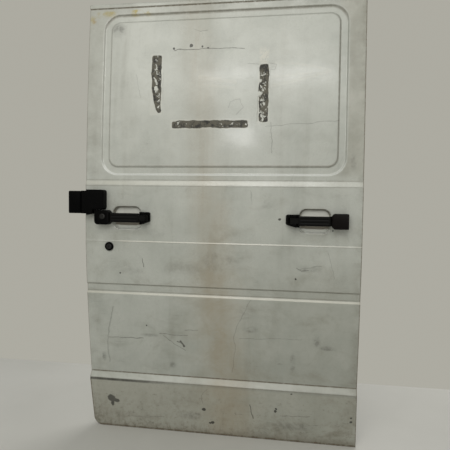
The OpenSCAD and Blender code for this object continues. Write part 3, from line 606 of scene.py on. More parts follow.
# %% Scratches and chips
marks = most_of(line_mask(paint, hand, *row) for row in SCRATCHES) * fine.step(0.22, 0.55).lifted(0.45)
scuff = hairlines(paint, flat, 4, 26.0, 5.0, 0.012) * patchy.step(0.56, 0.66) * 0.4
scuff = scuff | (hairlines(paint, flat, 68, 30.0, 4.0, 0.012) * broad.step(0.55, 0.66) * 0.3)
scuff = scuff | (hairlines(paint, flat, -35, 22.0, 6.0, 0.01) * patchy.step(0.6, 0.7) * 0.3)
sill_scuff = hairlines(paint, flat, 2, 34.0, 6.0, 0.022) * z.step(0.2, 0.14) * fine.step(0.52, 0.62) * 0.55
worn_through = (marks | (scuff * low_down.lifted(0.4)) | sill_scuff) & 1.0
colour = paint.mix(worn_through, colour, SCRATCH_GREY)
chips = most_of(chip_mask(paint, hand, *row) for row in CHIPS)
chips = (chips * (fine + 0.3)).step(0.28, 0.66) * 0.88
flaked = most_of(patch_mask(paint, hand, *row) for row in FLAKED)
flaked = (flaked * (fine * 0.9 + 0.4)).step(0.28, 0.62) * 0.8
specks = speckle.step(0.745, 0.77) * patchy.step(0.55, 0.62) * (low_down * 0.7 + 0.1)
bare = chips | flaked | specks
colour = paint.mix(bare, colour, PRIMER)
print("with scratches and chips:", len(paint.tree.nodes), "nodes")

# %% Outer paint: gloss and grain
paint.feed("Base Color", colour)
paint.feed("Coat Roughness", 0.12)
worn_off = (grime_and_shade | smudged | glue | film | worn_through | bare) + dullness * 0.35 + smears * 0.4
paint.feed("Coat Weight", (0.55 - worn_off * 0.55) | 0.0)
rough = 0.235 + dullness * 0.12 + (grime_and_shade | smudged) * 0.25 + (glue | film) * 0.25 + worn_through * 0.15
paint.feed("Roughness", (rough + (fine - 0.5) * 0.1) & 0.95)
relief_normal = paint.bump(paint.noise(spot, 900.0, 2.0, 0.5), 0.05, 0.0006)
relief_normal = paint.bump(glue * flake, 0.9, 0.001, relief_normal)
relief_normal = paint.bump(1 - (worn_through | bare), 0.3, 0.0004, relief_normal)
paint.feed("Normal", relief_normal)
paint.feed("IOR", 1.48)
print("outer paint:", len(paint.tree.nodes), "nodes")

# %% [markdown]
# The inside of the door was painted too, but sun and car washes never reached it. It has kept more of its
# white, with dust on every ledge and brown wax that ran out of the seams and down.

# %% Inner paint
INNER_CLEAN = (0.5, 0.505, 0.455, 1)
INNER_DULL = (0.36, 0.355, 0.3, 1)
WAX = (0.19, 0.12, 0.055, 1)
INNER_DUST = (0.24, 0.215, 0.17, 1)

inside = Finish("inner_paint")
spot = inside.place()
x, y, z = inside.axes(spot)
patchy = inside.noise(spot, 7.0, 5.0, 0.6)
fine = inside.noise(spot, 70.0, 4.0, 0.65)
runs = inside.noise(inside.scaled(spot, (60.0, 8.0, 1.6)), 1.0, 3.0, 0.5)
up = inside.facing_up(0.15, 0.9)
colour = inside.mix(patchy.step(0.35, 0.75) * 0.45, INNER_CLEAN, INNER_DULL)
wax = runs.step(0.6, 0.74) * patchy.step(0.45, 0.6)
colour = inside.mix(wax * 0.45, colour, WAX)
dust = (up * 0.55 + z.step(0.35, 0.0) * 0.35 + fine.step(0.55, 0.8) * 0.15) & 1.0
colour = inside.mix(dust, colour, INNER_DUST)
flecks = fine.step(0.7, 0.76) * z.step(0.45, 0.0)
colour = inside.mix(flecks & 1.0, colour, RUST)
inside.feed("Base Color", colour)
inside.feed("Roughness", 0.42 + dust * 0.35 + wax * 0.05)
inside.feed("Normal", inside.bump(inside.noise(spot, 700.0, 2.0, 0.5), 0.08, 0.0006))
print("inner paint:", len(inside.tree.nodes), "nodes")

# %% [markdown]
# The small parts are moulded plastic, plated or coated steel, nylon and rubber. One recipe serves them all:
# a base colour, a fine moulding or casting grain, dust that is thickest on what faces up, and a second
# colour where hands and rollers have rubbed. Near black needs a low shine here, or the room greys it.

# %% Finishes of the small parts
DUST = (0.15, 0.14, 0.12, 1)
FINE_DUST = (0.03, 0.029, 0.026, 1)


def worn(name, base, rough, metallic=0.0, dust=0.3, wear=None, grain=0.05, shine=0.5, tint=DUST, slot=None):
    """A plain finish with a fine grain, patchy dust that is thickest on what faces up, and worn patches."""
    made = Finish(name, metallic, slot)
    made.feed("Specular IOR Level", shine)
    spot = made.place()
    patchy = made.noise(spot, 16.0, 4.0, 0.6)
    fine = made.noise(spot, 130.0, 4.0, 0.65)
    up = made.facing_up(0.2, 0.95)
    cover = (patchy.step(0.42, 0.78) * 0.45 + fine.step(0.52, 0.8) * 0.35 + up * 0.5) * dust & 1.0
    colour = base
    if wear:
        colour = made.mix((patchy * 0.6 + fine * 0.4).step(0.54, 0.62), colour, wear)
    made.feed("Base Color", made.mix(cover, colour, tint))
    made.feed("Roughness", rough + cover * 0.3 + (fine - 0.5) * 0.12)
    made.feed("Normal", made.bump(made.noise(spot, 1800.0, 2.0, 0.55), grain, 0.0005))
    return made


black = worn("black_plastic", (0.0012, 0.0012, 0.0013, 1), 0.5, dust=0.05, grain=0.12, shine=0.055,
             tint=FINE_DUST)
grip_black = worn("grip_plastic", (0.0022, 0.0023, 0.002, 1), 0.42, dust=0.06, grain=0.08, shine=0.11,
                  tint=FINE_DUST, slot="black_plastic")
block_black = worn("block_plastic", (0.0034, 0.002, 0.0016, 1), 0.44, dust=0.08,
                   wear=(0.013, 0.0065, 0.005, 1), shine=0.12, tint=FINE_DUST, slot="black_plastic")
lining = worn("inside_plastic", (0.03, 0.031, 0.03, 1), 0.5, dust=0.3, grain=0.12)
zinc = worn("plated_steel", (0.5, 0.48, 0.43, 1), 0.36, 1.0, dust=0.45, wear=(0.4, 0.34, 0.24, 1))
arm_coat = worn("arm_steel", (0.03, 0.03, 0.029, 1), 0.45, dust=0.4, wear=(0.085, 0.055, 0.035, 1))
nylon = worn("roller_nylon", (0.055, 0.052, 0.045, 1), 0.42, dust=0.35)
rubber = worn("seal_rubber", (0.02, 0.02, 0.021, 1), 0.62, dust=0.3, grain=0.08)
key_metal = worn("key_metal", (0.009, 0.009, 0.008, 1), 0.36, dust=0.12, wear=(0.016, 0.015, 0.013, 1),
                 shine=0.3, tint=FINE_DUST)
print("small finishes:", len(bpy.data.materials), "materials in all")

# %% [markdown]
# ## Building blocks for meshes
# Pieces are drawn in door millimetres. A piece is a list of points and faces, and most of them come from
# four moves: an outline given a thickness, a row of rings skinned over, a profile turned round an axis,
# and a flat area filled with triangles between its holes.

# %% Pieces, prisms, lofts and turned parts
def piece(name, parts, body, finishes, nodes, sharp, marks=None, recalc=True):
    """One piece from (points, faces) parts. It rides on a body and stands for the nodes that are named."""
    points, faces = [], []
    for part_points, part_faces in parts:
        base = len(points)
        points.extend(part_points)
        faces.extend([tuple(base + i for i in face) for face in part_faces])
    mesh = bpy.data.meshes.new(name)
    mesh.from_pydata(place(points).tolist(), [], faces)
    for finish in finishes:
        mesh.materials.append(finish.material)
    if marks is not None:
        mesh.polygons.foreach_set("material_index", np.asarray(marks, np.int32))
    if recalc:
        edit = bmesh.new()
        edit.from_mesh(mesh)
        bmesh.ops.recalc_face_normals(edit, faces=edit.faces)
        edit.to_mesh(mesh)
        edit.free()
    mesh.shade_smooth()
    mesh.set_sharp_from_angle(angle=math.radians(sharp))
    made = bpy.data.objects.new(name, mesh)
    bpy.context.scene.collection.objects.link(made)
    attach(made, body)
    if nodes:
        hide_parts(*nodes)
    return made


def along(axis, a, b, t):
    """The point with t on an axis and a and b on the other two, in X, Y, Z order."""
    return {"x": (t, a, b), "y": (a, t, b), "z": (a, b, t)}[axis]


def loft(rings):
    """A skin over rings that have equally many points, with its ends closed."""
    count = len(rings[0])
    points = [tuple(p) for ring in rings for p in ring]
    faces = []
    for k in range(len(rings) - 1):
        for i in range(count):
            j = (i + 1) % count
            faces.append((k * count + i, (k + 1) * count + i, (k + 1) * count + j, k * count + j))
    faces.append(tuple(range(count)))
    last = (len(rings) - 1) * count
    faces.append(tuple(last + i for i in reversed(range(count))))
    return points, faces


def prism(outline, low, high, axis):
    """A flat outline given a thickness along an axis."""
    return loft([[along(axis, a, b, t) for a, b in outline] for t in (low, high)])


def turned(profile, centre, axis, count):
    """A profile of (radius, place along the axis) turned round an axis through centre."""
    a, b = [c for c, name in zip(centre, "xyz") if name != axis]
    start = centre["xyz".index(axis)]
    turns = [2 * math.pi * i / count for i in range(count)]
    return loft([[along(axis, a + r * math.cos(t), b + r * math.sin(t), start + far) for t in turns]
                 for r, far in profile])


def turned_ring(profile, centre, axis, count):
    """A closed profile turned round an axis, with a hole through its middle in place of closed ends."""
    points, faces = turned(profile, centre, axis, count)
    last = (len(profile) - 1) * count
    return points, faces[:-2] + [(last + i, i, (i + 1) % count, last + (i + 1) % count) for i in range(count)]


def arc(centre, radius, start, end, count):
    """Points on an arc, angles in degrees."""
    return [(centre[0] + radius * math.cos(math.radians(start + (end - start) * i / count)),
             centre[1] + radius * math.sin(math.radians(start + (end - start) * i / count)))
            for i in range(count + 1)]


def rounded(low, high, radii, count=6):
    """A rectangle's outline with its own radius at each corner, anticlockwise from the low one."""
    (x0, y0), (x1, y1) = low, high
    corners = [((x0, y0), 1, 1, 180), ((x1, y0), -1, 1, 270), ((x1, y1), -1, -1, 0), ((x0, y1), 1, -1, 90)]
    line = []
    for (corner, sx, sy, start), r in zip(corners, radii):
        line.extend(arc((corner[0] + sx * r, corner[1] + sy * r), r, start, start + 90, count))
    return line


def dress(node, finish, width):
    """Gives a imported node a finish. Its shape stays, with its corners joined and rounded by width in mm."""
    made = frame["nodes"][node]
    made.data.materials.clear()
    made.data.materials.append(finish.material)
    weld = made.modifiers.new("weld", "WELD")
    weld.merge_threshold = 1e-5
    flat_faces = made.modifiers.new("flat_faces", "DECIMATE")
    flat_faces.decimate_type = "DISSOLVE"
    flat_faces.angle_limit = math.radians(2)
    made.data.shade_smooth()
    if width:
        bevel = made.modifiers.new("bevel", "BEVEL")
        bevel.width = width * MM
        bevel.segments = 2
        bevel.limit_method = "ANGLE"
        bevel.angle_limit = math.radians(32)
        bevel.harden_normals = True


print("mesh helpers are ready")

# %% [markdown]
# ## Outer skin
# The skin is one pressed sheet. Its cross-section is a line from the sill to the roof, made of a curve for
# each stretch between two pressed lines. The line is sampled every quarter millimetre and smoothed, which
# gives the small radii that a press leaves. The rest is relief on top: the channel round the window blank,
# two finger scoops, a few dents, and the slight waves that every big panel has.

# %% Cross-section and outline of the door
TOP_LIP = 5
# Y, lean and bow of the face in each field, in millimetres and per millimetre of height
WINDOW_Y, WINDOW_LEAN, WINDOW_BOW = 4, 0.025, 0.04
WAIST_Y, WAIST_BOW = -1.3, 0.9
LOWER_Y, LOWER_LEAN, LOWER_BOW = -3, 0.046, 0.0001
SILL_BACK, SILL_LEAN = 15, 0.041
# How far the rubbing strip channel, the rail over the rain bead and the roof lip lie behind their field
GROOVE_BACK, RAIL_OUT, LIP_OUT = 5.5, -3.0, -0.5
SAMPLE = 0.25
SOFTEN = 1.1
ENDS = 40           # samples at each end that the smoothing spoils

slant = math.atan(TAPER_X / (TAPER_Z - CORNER_R))
reach = HALF_W * math.cos(slant) - TAPER_Z * math.sin(slant)
CORNER_X = -(reach - CORNER_R + CORNER_R * math.sin(slant)) / math.cos(slant)


def window_field(z):
    return WINDOW_Y + WINDOW_LEAN * (z - BELT_TOP) + WINDOW_BOW * (z - BELT_TOP) ** 2 / (DOOR_H - BELT_TOP)


def waist_band(z): return WAIST_Y - WAIST_BOW * np.sin(np.pi * (z - CREASE_Z) / (BELT_LOW - CREASE_Z))
def lower_field(z): return LOWER_Y + LOWER_LEAN * (CREASE_Z - z) + LOWER_BOW * (CREASE_Z - z) ** 2
def sill(z): return lower_field(LEDGE_TOP) - SILL_BACK + SILL_LEAN * (LEDGE_LOW - z)


# Curve, from height, to height, distance behind the curve
STRETCHES = [
    (sill, -30, LEDGE_LOW, 0.0), (lower_field, LEDGE_TOP, GROOVE_LOW, 0.0),
    (lower_field, GROOVE_LOW + 8, GROOVE_TOP - 4, GROOVE_BACK), (lower_field, GROOVE_TOP, CREASE_Z - 3, 0.0),
    (waist_band, CREASE_Z, BELT_LOW, 0.0), (window_field, BELT_TOP, BEAD_Z, 0.0),
    (window_field, BEAD_Z + 1.5, DOOR_H - TOP_LIP, RAIL_OUT), (window_field, DOOR_H, DOOR_H + 30, LIP_OUT),
]
line_z = np.concatenate([np.linspace(low, high, 60) for _, low, high, _ in STRETCHES])
line_y = np.concatenate([curve(np.linspace(low, high, 60)) + by for curve, low, high, by in STRETCHES])
fine_z = np.arange(-28, DOOR_H + 28, SAMPLE)
kernel = np.exp(-0.5 * (np.arange(-30, 31) * SAMPLE / SOFTEN) ** 2)
fine_y = np.convolve(np.interp(fine_z, line_z, line_y), kernel / kernel.sum(), "same")


def skin_y(z):
    """Y of the skin's outer face at a height, before its relief."""
    return np.interp(z, fine_z[ENDS:-ENDS], fine_y[ENDS:-ENDS])


def rear_edge(z, margin):
    """X of the rear edge at each height, drawn in by a margin."""
    z = np.asarray(z, float)
    sloped = (margin - reach - z * math.sin(slant)) / math.cos(slant)
    edge = np.maximum(margin - HALF_W, sloped)
    r = CORNER_R - margin
    on_arc = z < CORNER_R - r * math.sin(slant)
    return np.where(on_arc, CORNER_X - np.sqrt(np.maximum(r * r - (CORNER_R - z) ** 2, 0)), edge)


def rim_loop(margin, across, up):
    """The door's outline, drawn in by a margin, anticlockwise from its rear bottom corner.

    across and up are the shares of the width and height at which its points lie.
    """
    up, across = np.asarray(up), np.asarray(across)
    z = margin + up * (DOOR_H - 2 * margin)
    rear = rear_edge(z, margin)
    bottom = rear[0] + across * (HALF_W - margin - rear[0])
    top = rear[-1] + across * (HALF_W - margin - rear[-1])
    return np.concatenate([
        np.stack([bottom[:-1], np.full(len(across) - 1, z[0])], 1),
        np.stack([np.full(len(up) - 1, HALF_W - margin), z[:-1]], 1),
        np.stack([top[:0:-1], np.full(len(across) - 1, z[-1])], 1),
        np.stack([rear[:0:-1], z[:0:-1]], 1)])


print("skin from Y", round(float(skin_y(CREASE_Z)), 1), "at the crease to", round(float(skin_y(DOOR_H)), 1))


# %% Relief of the outer skin
BLANK = (-BLANK_HALF, BLANK_HALF, BLANK_LOW, BLANK_TOP, BLANK_R)
CHANNEL_WALL = 6
SCOOP_FLOOR = 16.5
SCOOP_WALL = 6
WAVE_DEPTH = 0.28
CALM_EDGE = 60
# Dents: X, Z, half width, half height, depth
DENTS = [
    (-147, 352, 16, 20, 1.3), (-345, 128, 26, 18, 1.4), (210, 118, 20, 16, 1.0), (60, 420, 30, 26, 0.6),
    (-470, 330, 14, 30, 0.7), (300, 300, 34, 24, 0.6), (470, 70, 18, 16, 1.2), (-110, 405, 12, 12, 0.6),
]


def ease(t):
    """0 below 0 and 1 above 1, smooth in between."""
    t = np.clip(t, 0, 1)
    return t * t * (3 - 2 * t)


def pad_gap(x, z, pad):
    """Distance outside a rounded rectangle, negative inside it."""
    x0, x1, z0, z1, r = pad
    across = np.abs(x - (x0 + x1) / 2) - (x1 - x0) / 2 + r
    up = np.abs(z - (z0 + z1) / 2) - (z1 - z0) / 2 + r
    return np.hypot(np.maximum(across, 0), np.maximum(up, 0)) + np.minimum(np.maximum(across, up), 0) - r


def scoop_pad(side):
    return (side * SCOOP_X - SCOOP_HALF, side * SCOOP_X + SCOOP_HALF, SCOOP_LOW, SCOOP_TOP, SCOOP_R)


def relief(x, z):
    """How far the skin lies behind its cross-section."""
    into = -pad_gap(x, z, BLANK)
    found = CHANNEL_D * ease(into / CHANNEL_WALL) * (1 - ease((into - CHANNEL_W) / CHANNEL_WALL + 1))
    for side in (-1, 1):
        into = 1 - pad_gap(x, z, scoop_pad(side))
        bowl = 1 - (1 - np.clip(into / SCOOP_WALL, 0, 1)) ** 2
        found = found + (SCOOP_FLOOR - skin_y(z)) * bowl * ease(into / 3)
    for at_x, at_z, half_x, half_z, depth in DENTS:
        found = found + depth * np.exp(-((x - at_x) / half_x) ** 2 - ((z - at_z) / half_z) ** 2)
    quiet = ease((HALF_W - np.abs(x)) / CALM_EDGE) * ease(z / CALM_EDGE) * ease((DOOR_H - z) / CALM_EDGE)
    waves = np.sin(x / 87 + 1.3) * np.sin(z / 131 + 0.4) + np.sin(x / 151 - z / 97)
    return found + WAVE_DEPTH * quiet * (waves + 0.5 * np.sin(x / 41 + z / 73))


def ticks(start, *zones):
    """Places along a line. A zone is (end, step), and it is divided evenly."""
    found = [start]
    for end, step in zones:
        low = found[-1]
        count = max(1, round((end - low) / step))
        found.extend(low + (end - low) * (i + 1) / count for i in range(count))
    return np.array(found)


print("relief at the channel's foot", round(float(relief(0, BLANK_LOW + CHANNEL_W / 2)), 1), "mm")

# %% Outer skin as one mesh
EDGE_IN = 1.5
BACK_IN = 2.2
SHEET = 2
BEND_X = -380       # the mesh is squeezed rearward of this, so that it follows the slanted edge
side_in = HALF_W - EDGE_IN
# Columns and rows of the mesh: each zone is where it ends and its step, finer where the sheet bends
SIDE_ZONES = [(386, 3.6), (428, 2.6), (438, 1.3), (458, 3.4), (466, 1.3), (516, 9), (side_in, 4)]
right = ticks(298, *SIDE_ZONES)
columns = np.concatenate([-right[:0:-1], ticks(-298, (298, 22)), right[1:]])
rows = ticks(EDGE_IN, (6, 0.8), (16, 2.4), (38, 4.4), (190, 16), (196, 3), (224, 2.4), (232, 4), (540, 18),
             (545, 2.5), (560, 1.9), (580, 6.5), (592, 1.3), (600, 4), (748, 18), (753, 2.5), (760, 0.8),
             (766, 3), (798, 8), (895, 3.4), (962, 12), (969, 2.4), (993, 2.0), (1005, 5), (1009, 2),
             (1017, 1.3), (1037, 3.4), (1046, 1.3), (1079, 2.9), (1563, 20), (1596, 2.9), (1605, 1.3),
             (1625, 3.4), (1633, 1.3), (1654, 6), (1661, 1.0), (1667, 3), (DOOR_H - EDGE_IN, 1.1))
across = (columns - columns[0]) / (columns[-1] - columns[0])
upward = (rows - rows[0]) / (rows[-1] - rows[0])


def skin_grid(margin, behind):
    """The skin's points, row by row, with its edge drawn in by a margin and its face moved behind itself."""
    z = margin + upward * (DOOR_H - 2 * margin)
    x = np.broadcast_to(columns * (HALF_W - margin) / side_in, (len(rows), len(columns))).copy()
    squeeze = (rear_edge(z, margin)[:, None] - BEND_X) / (x[:, :1] - BEND_X)
    x = np.where(x < BEND_X, BEND_X + (x - BEND_X) * squeeze, x)
    z = np.broadcast_to(z[:, None], x.shape)
    return np.stack([x, skin_y(z) + relief(x, z) + behind, z], -1)


front, back = skin_grid(EDGE_IN, 0), skin_grid(BACK_IN, SHEET)
ids = np.arange(front[..., 0].size).reshape(front.shape[:2])
edge_ids = np.concatenate([ids[0, :-1], ids[:-1, -1], ids[-1, :0:-1], ids[:0:-1, 0]])
# Rings of the folded edge, from the front face round to the back of the sheet: drawn in by, behind by
HEM = [(0.7, 0.22), (0.22, 0.7), (0, 1.5), (0, 4.7), (0.44, 5.76), (1.5, 6.2), (11, 6.2), (11, 4.2),
       (BACK_IN, 4.2)]
edge_x = front[0, :, 0]
edge_share = (edge_x - edge_x[0]) / (edge_x[-1] - edge_x[0])


def hem_ring(margin, behind):
    loop = rim_loop(margin, across, upward)
    bottom = slice(0, len(columns) - 1)
    loop[bottom, 0] = loop[0, 0] + edge_share[:-1] * (HALF_W - margin - loop[0, 0])
    return np.stack([loop[:, 0], skin_y(loop[:, 1]) + behind, loop[:, 1]], 1)


rings = [hem_ring(margin, behind) for margin, behind in HEM]
total = ids.size
quads = np.stack([ids[:-1, :-1], ids[:-1, 1:], ids[1:, 1:], ids[1:, :-1]], -1).reshape(-1, 4)
ring_ids = [edge_ids] + [total + k * len(edge_ids) + np.arange(len(edge_ids)) for k in range(len(rings))]
back_base = total + len(rings) * len(edge_ids)
ring_ids.append(edge_ids + back_base)
faces = [quads]
for one, two in zip(ring_ids, ring_ids[1:]):
    faces.append(np.stack([one, two, np.roll(two, -1), np.roll(one, -1)], -1))
faces.append(quads[:, ::-1] + back_base)
outside = len(quads) + 4 * len(edge_ids)
marks = np.concatenate([np.zeros(outside), np.ones(sum(map(len, faces)) - outside)])
points = np.concatenate([front.reshape(-1, 3), *rings, back.reshape(-1, 3)])
piece("outer_skin_sheet", [(points.tolist(), np.concatenate(faces).tolist())], "door", [paint, inside],
      ("outer_skin", "front_scoop", "rear_scoop"), 40, marks, recalc=False)
print("outer skin:", 2 * len(marks), "triangles")

# %% [markdown]
# ## Handles and locks
# Both handles are alike: a fixed block at the outer end, a forked hinge block at the inner end, and a grip
# bar that is pulled out from the door round a pin in the fork. The rear block also holds a key barrel. The
# grips are lofted here, with two fine grooves along the outer face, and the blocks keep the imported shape.

# %% Grip bars
GRIP_Z = 848
GRIP_X = (298, 411)
GRIP_Y = (-40, -26)
GRIP_HALF = 17.5
GRIP_R = (5, 4, 4, 5)           # radii of the bar's corners, from the outer lower one
GROOVE_AT = 6                   # the two grooves lie this far above and below the middle
NECK_HALF = 10
PIN_X, PIN_Y, PIN_R = 274, -21, 2.5
EYE_R = 7.5


def grip_ring(x, inset, groove):
    """Cross-section of a grip: rounded corners, and two grooves on the face that points out of the door."""
    y0, y1 = GRIP_Y[0] + inset, GRIP_Y[1] - inset
    z0, z1 = GRIP_Z - GRIP_HALF + inset, GRIP_Z + GRIP_HALF - inset
    line = rounded((y0, z0), (y1, z1), [r - inset for r in GRIP_R])
    for at in (GRIP_Z + GROOVE_AT, GRIP_Z - GROOVE_AT):
        line += [(y0, at + 1.1), (y0 + groove, at + 0.5), (y0 + groove, at - 0.5), (y0, at - 1.1)]
    return [(x, y, z) for y, z in line]


def eye(inner, outer, half, centre):
    """An upright ring with bevelled rims, for the hinge pin to go through."""
    rim = [(outer - 0.6, half), (outer, half - 0.6)]
    section = [(inner, -half)] + [(r, -far) for r, far in rim] + rim[::-1] + [(inner, half)]
    return turned_ring(section, centre, "z", 36)


def mirrored(parts, side):
    """The same parts on the other half of the door where side is -1."""
    return [([(side * x, y, z) for x, y, z in points], faces) for points, faces in parts]


# Distance from each end of the bar, how far its section is drawn in, and the depth of its grooves
STATIONS = [(0, 1.7, 0), (0.5, 0.8, 0), (1.6, 0, 0), (6, 0, 0), (9, 0, 0.5)]
# The bar's neck, which reaches round to the hinge pin, as X and Y
NECK = [(267.5, -24), (267.5, -29.5), (274, -36.8), (298, -37.4), (302, -37.4), (302, -27), (293, -27),
        (282, -13.8), (277.3, -14)]
for side, name in ((1, "front"), (-1, "rear")):
    rings = [grip_ring(GRIP_X[0] + off, inset, groove) for off, inset, groove in STATIONS]
    rings += [grip_ring(GRIP_X[1] - off, inset, groove) for off, inset, groove in reversed(STATIONS)]
    parts = [loft(rings), prism(NECK, GRIP_Z - NECK_HALF, GRIP_Z + NECK_HALF, "z"),
             eye(PIN_R + 0.1, EYE_R, NECK_HALF, (PIN_X, PIN_Y, GRIP_Z))]
    piece(name + "_grip_bar", mirrored(parts, side), name + "_grip", [grip_black],
          (name + "_handle_grip",), 40)
    dress(name + "_handle_block", block_black if side > 0 else black, 2.8)
    dress(name + "_handle_hinge_block", black, 2.0)
dress("rear_key_barrel", key_metal, 0.7)
dress("lock_rosette", black, 1.6)
dress("lock_barrel", key_metal, 0.6)
print("handles and locks are dressed")

# %% [markdown]
# ## Rear arm and its covers
# The middle roller arm hinges in a pocket in the rear edge, and a black cover hides the hinge. The part of
# the cover that sticks out past the door swings with the arm, so there is a fine gap between the two.

# %% Covers
# Y of the face, Y of the open back and radius of the front edge, for the fixed and the swinging cover
COVER = (-38, -0.6, 4)
SHROUD = (-35, 10, 3.5)
SHROUD_WALL = 3
# Outline of the fixed cover as X and Z, from its outer bottom corner
cover_line = [(-526.5, 861.5), (-508, 861.5), (-507.5, 856.5), (-492, 859.5)]
cover_line += arc((-488, 866), 6, 300, 360, 4) + [(-482, 877.5)]
cover_line += arc((-448, 887.5), 10, 270, 360, 6) + arc((-448, 943.5), 10, 0, 90, 6)
cover_line += [(-507.5, 953.5), (-508, 949.0), (-526.5, 949.0)]


def heading(start, end):
    """Direction from one point of an outline to another."""
    return Vector((end[0] - start[0], end[1] - start[1])).normalized()


def inset_line(line, by):
    """A closed outline drawn in by a distance, corner by corner."""
    found = []
    for last, here, following in zip(line[-1:] + line[:-1], line, line[1:] + line[:1]):
        one, two = heading(last, here), heading(here, following)
        across = Vector((-one.y, one.x))
        normal = (across + Vector((-two.y, two.x))).normalized()
        share = by / max(0.35, normal.dot(across))
        found.append((here[0] + normal.x * share, here[1] + normal.y * share))
    return found


def cover_rings(line, face_y, back_y, r):
    """Rings from the middle of a rounded front edge back to the open side."""
    found = []
    for turn in (90, 67, 45, 22, 0):
        inset = r * (1 - math.cos(math.radians(turn)))
        behind = r * (1 - math.sin(math.radians(turn)))
        found.append([(x, face_y + behind, z) for x, z in inset_line(line, inset)])
    found.append([(x, back_y, z) for x, z in line])
    return found


piece("hinge_cover_shell", [loft(cover_rings(cover_line, *COVER))], "door", [black],
      ("hinge_cover",), 40)
shroud_line = rounded((-580, 862), (-529.5, 948), (5, 2, 2, 5), 5)
shroud = cover_rings(shroud_line, *SHROUD)
for y in (SHROUD[1], SHROUD[0] + SHROUD[2]):
    shroud.append([(x, y, z) for x, z in inset_line(shroud_line, SHROUD_WALL)])
piece("carriage_cover_shell", [loft(shroud)], "carriage", [black], ("carriage_cover",), 40)
dress("carriage_arm", arm_coat, 1.0)
dress("arm_hinge_pin", zinc, 0.8)
dress("arm_pocket", inside, 0.6)
print("covers:", len(cover_line), "and", len(shroud_line), "corners round")

# %% [markdown]
# ## Rollers and bolts
# Two kinds of roller carry the door. The load rollers stand upright on their arms, with a raised tyre and a
# sunk hub, and the guide rollers lie flat and keep it in its rails. Each is turned from a profile, as on a
# lathe. The bolts that hold the arms and the screws of the locks show only when the door is open.

# %% Rollers
def tyre(radius, width, hole):
    """Profile of a roller with a raised tyre, a sunk face and a hub, as a closed ring."""
    half = [(hole, 0.6), (hole + 2.2, 0.6), (hole + 2.6, 1.4), (radius - 3.2, 1.4), (radius - 2.4, 0.2),
            (radius - 1.0, 0.0), (radius - 0.3, 0.3), (radius, 1.0)]
    return half + [(r, width - t) for r, t in reversed(half)]


def roller(name, centre, axis, radius, width, hole, body, node):
    """A roller that turns on a pin of its arm."""
    piece(name, [turned_ring(tyre(radius, width, hole), centre, axis, 48)], body, [nylon],
          (node,), 40)


def studded(name, centre, radius, low, width, foot, head, node):
    """A roller on an upright stud: the stud, a washer, the tyre and the stud's head in one turned part."""
    top = low + width
    section = [(3.4, foot), (4, foot + 0.6), (4, low - 1.4), (7, low - 1.4), (7, low), (radius - 1.2, low),
               (radius, low + 1.2), (radius, top - 1.2), (radius - 1.2, top - 0.4), (radius - 3.6, top - 0.4),
               (radius - 4.4, top - 1.6), (6.2, top - 1.6), (6.2, head - 0.7), (5.5, head)]
    piece(name, [turned(section, centre, "z", 48)], "door", [nylon], (node,), 40)


# Load and carriage rollers: name, centre, axis, radius, width, bore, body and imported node. Studded rollers:
# name, centre, radius, underside, width, foot of the stud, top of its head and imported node
roller("lower_load_tyre", (430, 234, 78), "y", 17, 14, 5.05, "door", "lower_load_roller")
studded("lower_guide_tyre", (430, 205, 0), 14, 106, 14, 97, 120, "lower_guide_roller")
studded("upper_tyre", (465, 154, 0), 13, 1634, 14, 1624, 1648, "upper_roller")
roller("carriage_load_tyre", (-560, 19, 887), "y", 13, 13, 4.05, "carriage", "carriage_load_roller")
for x, side in ((-549, "front"), (-571, "rear")):
    roller("carriage_guide_tyre_" + side, (x, 23, 910.5), "z", 9, 10.5, 3.05, "carriage",
           "carriage_guide_roller_" + side)
dress("lower_arm", arm_coat, 1.0)
dress("upper_arm", arm_coat, 0.8)
print("rollers and arms are dressed")

# %% Bolts and screws
BOLT_Y = 96
LOWER_BOLTS = [(392, 56), (392, 174), (468, 56), (468, 174)]
UPPER_BOLTS = [(446, 1600), (484, 1600)]
# Lock screws on the door's edges: which edge, Y, Z
SCREWS = [(1, 42, 784), (1, 48, 812), (1, 42, 880), (-1, 42, 708), (-1, 42, 776), (-1, 42, 804)]
SCREW_X = 510.8
SCREW_R = 4.2


def polygon(x, y, z, radius, corners):
    """A regular polygon that faces along Y."""
    turns = [2 * math.pi * i / corners for i in range(corners)]
    return [(x + radius * math.cos(t), y, z + radius * math.sin(t)) for t in turns]


def hex_bolt(x, z, across_flats=13.0, head=5.3, washer=8.5):
    """A hexagon bolt head on a washer, on an arm's foot inside the door."""
    r = across_flats / math.sqrt(3)
    disc = [(0, washer), (1.2, washer), (1.5, washer * 0.95)]
    nut = [(1.5, r), (head + 0.9, r), (head + 1.5, r * 0.86)]
    return [loft([polygon(x, BOLT_Y + up, z, radius, 24) for up, radius in disc]),
            loft([polygon(x, BOLT_Y + up, z, radius, 6) for up, radius in nut])]


def pan_screw(side, y, z):
    """A round screw head: a low dome with a sunk middle."""
    profile = [(1, 0), (1, 0.8), (0.9, 1.7), (0.65, 2.4), (0.42, 2.6), (0.36, 1.5)]
    return turned([(r * SCREW_R, side * t) for r, t in profile], (side * SCREW_X, y, z), "x", 24)


bolts = [part for at in LOWER_BOLTS for part in hex_bolt(*at)]
piece("lower_arm_bolts", bolts, "door", [zinc], (), 30)
bolts = [part for at in UPPER_BOLTS for part in hex_bolt(*at, 10, 4.0, 7)]
piece("upper_arm_bolts", bolts, "door", [zinc], (), 30)
piece("lock_screws", [pan_screw(*screw) for screw in SCREWS], "door", [zinc], (), 30)
print("bolts and screws are in")

# %% [markdown]
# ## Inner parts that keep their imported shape
# Locks, claws, the rod between them, stiffeners and rubber buffers are seen through the panel's openings
# or on the door's edges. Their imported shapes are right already, so each is given only a finish and small
# radii at its corners, as stamping and casting leave.

